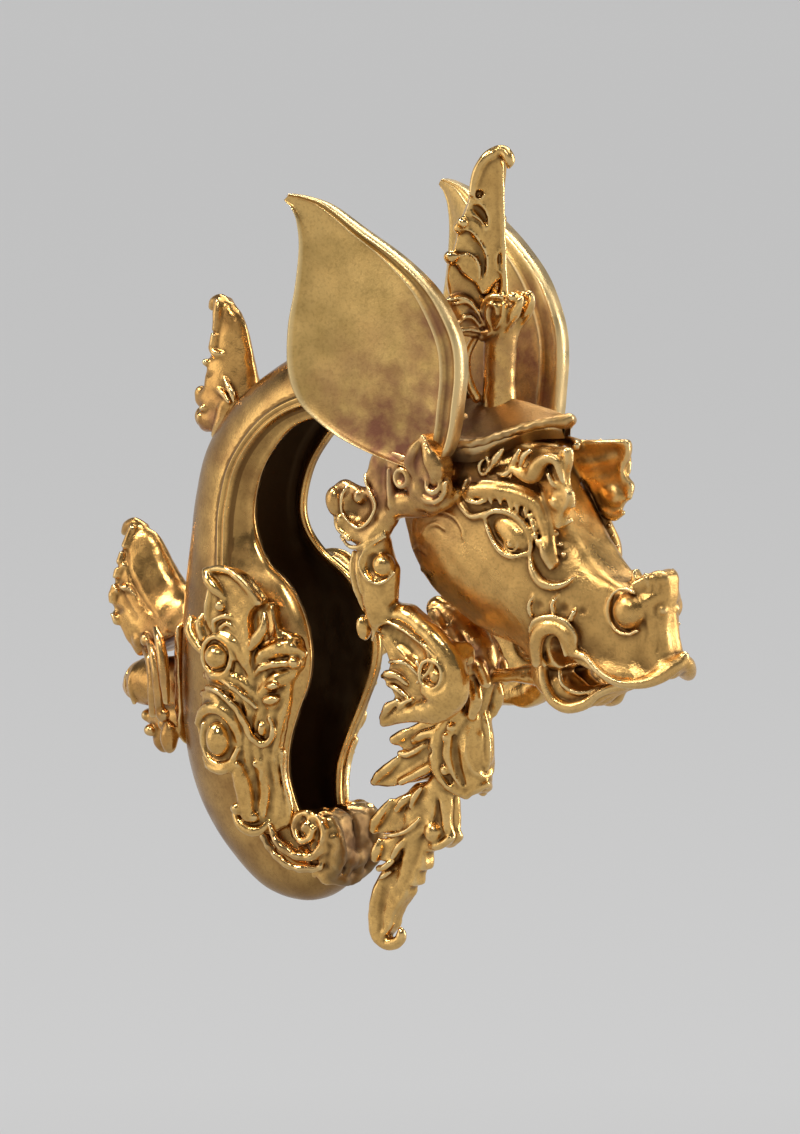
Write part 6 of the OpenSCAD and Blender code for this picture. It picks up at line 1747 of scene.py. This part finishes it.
looks = {
    "cast": gold("cast_gold", bright, warm, rough=0.17),
    "ring": gold("ring_gold", pale, (0.42, 0.215, 0.07), rough=0.16, mottle=0.8, pits=0.25),
    "back": gold("back_gold", (0.82, 0.46, 0.14), (0.44, 0.21, 0.06), rough=0.2, mottle=0.8),
    "face": gold("face_gold", pale, (0.58, 0.32, 0.095), rough=0.28, pits=0.9),
    "sheet": gold("sheet_gold", (0.88, 0.57, 0.20), (0.56, 0.36, 0.115), (0.20, 0.11, 0.035),
                  rough=0.36, mottle=0.8, pits=0.9, tarnish_and_shade_share=0.9),
    "stained": gold("stained_gold", (0.62, 0.36, 0.12), (0.34, 0.18, 0.06), (0.10, 0.05, 0.02),
                    rough=0.33, mottle=0.9, pits=0.8, tarnish_and_shade_share=0.9)}

pieces = [
    (hoop, "ring"), (head, "face"), (ears, "sheet"), (crest, "cast"), (brow, "stained"), (strands, "cast"),
    (pendant, "cast"), (masks, "cast"), (back_mask, "back"), (shoulder, "back")]
for build, look in pieces:
    made = build()
    for thing in (made if isinstance(made, list) else [made]):
        thing.data.materials.append(looks[look])


# Studio: pale floor that curves up far away, soft lights, camera. Sizes here are in metres.

floor_level = -0.14
floor_sides = 96
# Radius and height over the floor, from the first ring out to the top of the wall
paper_rings = [
    (0.6, 0.0), (1.5, 0.0), (2.4, 0.0), (2.8, 0.05), (3.1, 0.16), (3.25, 0.3), (3.3, 0.5), (3.32, 0.9),
    (3.34, 1.4)]
paper_grey, paper_glow = 0.12, 0.48
# The glow grows from the first share to full between two distances from the ornament
dim_share, dim_reach = 0.62, (0.18, 0.5)


def paper():
    """Pale paper that glows, less so round the spot below the ornament, as if in its shadow."""
    material = bpy.data.materials.new("paper")
    material.use_nodes = True
    nodes, links = material.node_tree.nodes, material.node_tree.links
    shader = nodes["Principled BSDF"]
    shader.inputs["Base Color"].default_value = (paper_grey, paper_grey, paper_grey, 1)
    shader.inputs["Roughness"].default_value = 0.9
    shader.inputs["Emission Color"].default_value = (paper_glow, paper_glow, paper_glow, 1)
    where = nodes.new("ShaderNodeTexCoord")
    reach = nodes.new("ShaderNodeVectorMath")
    reach.operation = "LENGTH"
    links.new(where.outputs["Object"], reach.inputs[0])
    dim = nodes.new("ShaderNodeMapRange")
    for socket, number in zip(("From Min", "From Max", "To Min", "To Max"), (*dim_reach, dim_share, 1.0)):
        dim.inputs[socket].default_value = number
    links.new(reach.outputs["Value"], dim.inputs["Value"])
    links.new(dim.outputs["Result"], shader.inputs["Emission Strength"])
    return material


def floor():
    """Round floor below the ornament, curved up to a wall all round."""
    angles = np.arange(floor_sides) * 2 * math.pi / floor_sides
    verts = [(r * math.cos(a), r * math.sin(a), z + floor_level) for r, z in paper_rings for a in angles]
    verts.append((0, 0, floor_level))
    faces = []
    for i in range(floor_sides):
        j = (i + 1) % floor_sides
        for ring in range(0, (len(paper_rings) - 1) * floor_sides, floor_sides):
            faces.append((ring + i, ring + floor_sides + i, ring + floor_sides + j, ring + j))
        faces.append((len(verts) - 1, i, j))
    mesh = bpy.data.meshes.new("floor")
    mesh.from_pydata(verts, [], faces)
    mesh.shade_smooth()
    mesh.materials.append(paper())
    thing = bpy.data.objects.new("floor", mesh)
    bpy.context.scene.collection.objects.link(thing)


# Camera: its angles, the point it looks at, its distance in metres, pixels a millimetre there and the
# height of the photo in pixels
azimuth, elevation = math.radians(42), math.radians(8)
back = Vector((math.sin(azimuth) * math.cos(elevation), -math.cos(azimuth) * math.cos(elevation),
               math.sin(elevation)))
right = Vector((math.cos(azimuth), math.sin(azimuth), 0))
up = back.cross(right)
target = Vector((3.543, -0.936, -8.363)) * MM
distance = 0.42
photo_scale = 17.9
photo_height = 1134
sensor = 36.0


def camera():
    data = bpy.data.cameras.new("camera")
    data.sensor_width = sensor
    data.lens = photo_scale / MM * distance / photo_height * sensor
    data.clip_start = 0.01
    data.clip_end = 20
    thing = bpy.data.objects.new("camera", data)
    thing.location = target + back * distance
    thing.rotation_euler = (-back).to_track_quat("-Z", "Y").to_euler()
    bpy.context.scene.collection.objects.link(thing)
    bpy.context.scene.camera = thing


# Distance of the lights from the point that the camera looks at
light_away = 0.8
daylight = (1.0, 0.98, 0.95)


def softbox(name, side, height, front, width, tall, radiance, colour=(1, 1, 1)):
    """Area light that faces the ornament. side, height, front: shares of right, up and towards the camera."""
    data = bpy.data.lights.new(name, "AREA")
    data.shape = "RECTANGLE"
    data.size, data.size_y = width, tall
    data.energy = radiance * math.pi * width * tall
    data.color = colour
    thing = bpy.data.objects.new(name, data)
    way = (right * side + up * height + back * front).normalized()
    thing.location = target + way * light_away
    thing.rotation_euler = (-way).to_track_quat("-Z", "Y").to_euler()
    bpy.context.scene.collection.objects.link(thing)


floor()
camera()
softbox("left", -1.0, 0.3, 0.1, 0.55, 0.62, 0.85, daylight)
softbox("window", -0.7, 0.85, 0.15, 0.14, 0.18, 38.0, daylight)
softbox("top", 0.35, 1.0, 0.0, 0.7, 0.4, 1.8)
softbox("spark", -0.25, 0.7, 0.65, 0.1, 0.1, 46.0)
softbox("strip", 0.2, 1.0, -0.5, 0.6, 0.07, 16.0)
softbox("rim", 0.97, 0.25, -0.12, 0.1, 0.6, 13.0)
world = bpy.data.worlds.new("studio")
world.use_nodes = True
world.node_tree.nodes["Background"].inputs["Color"].default_value = (0.5, 0.5, 0.51, 1)
world.node_tree.nodes["Background"].inputs["Strength"].default_value = 0.26
bpy.context.scene.world = world
bpy.context.scene.view_settings.view_transform = "Standard"
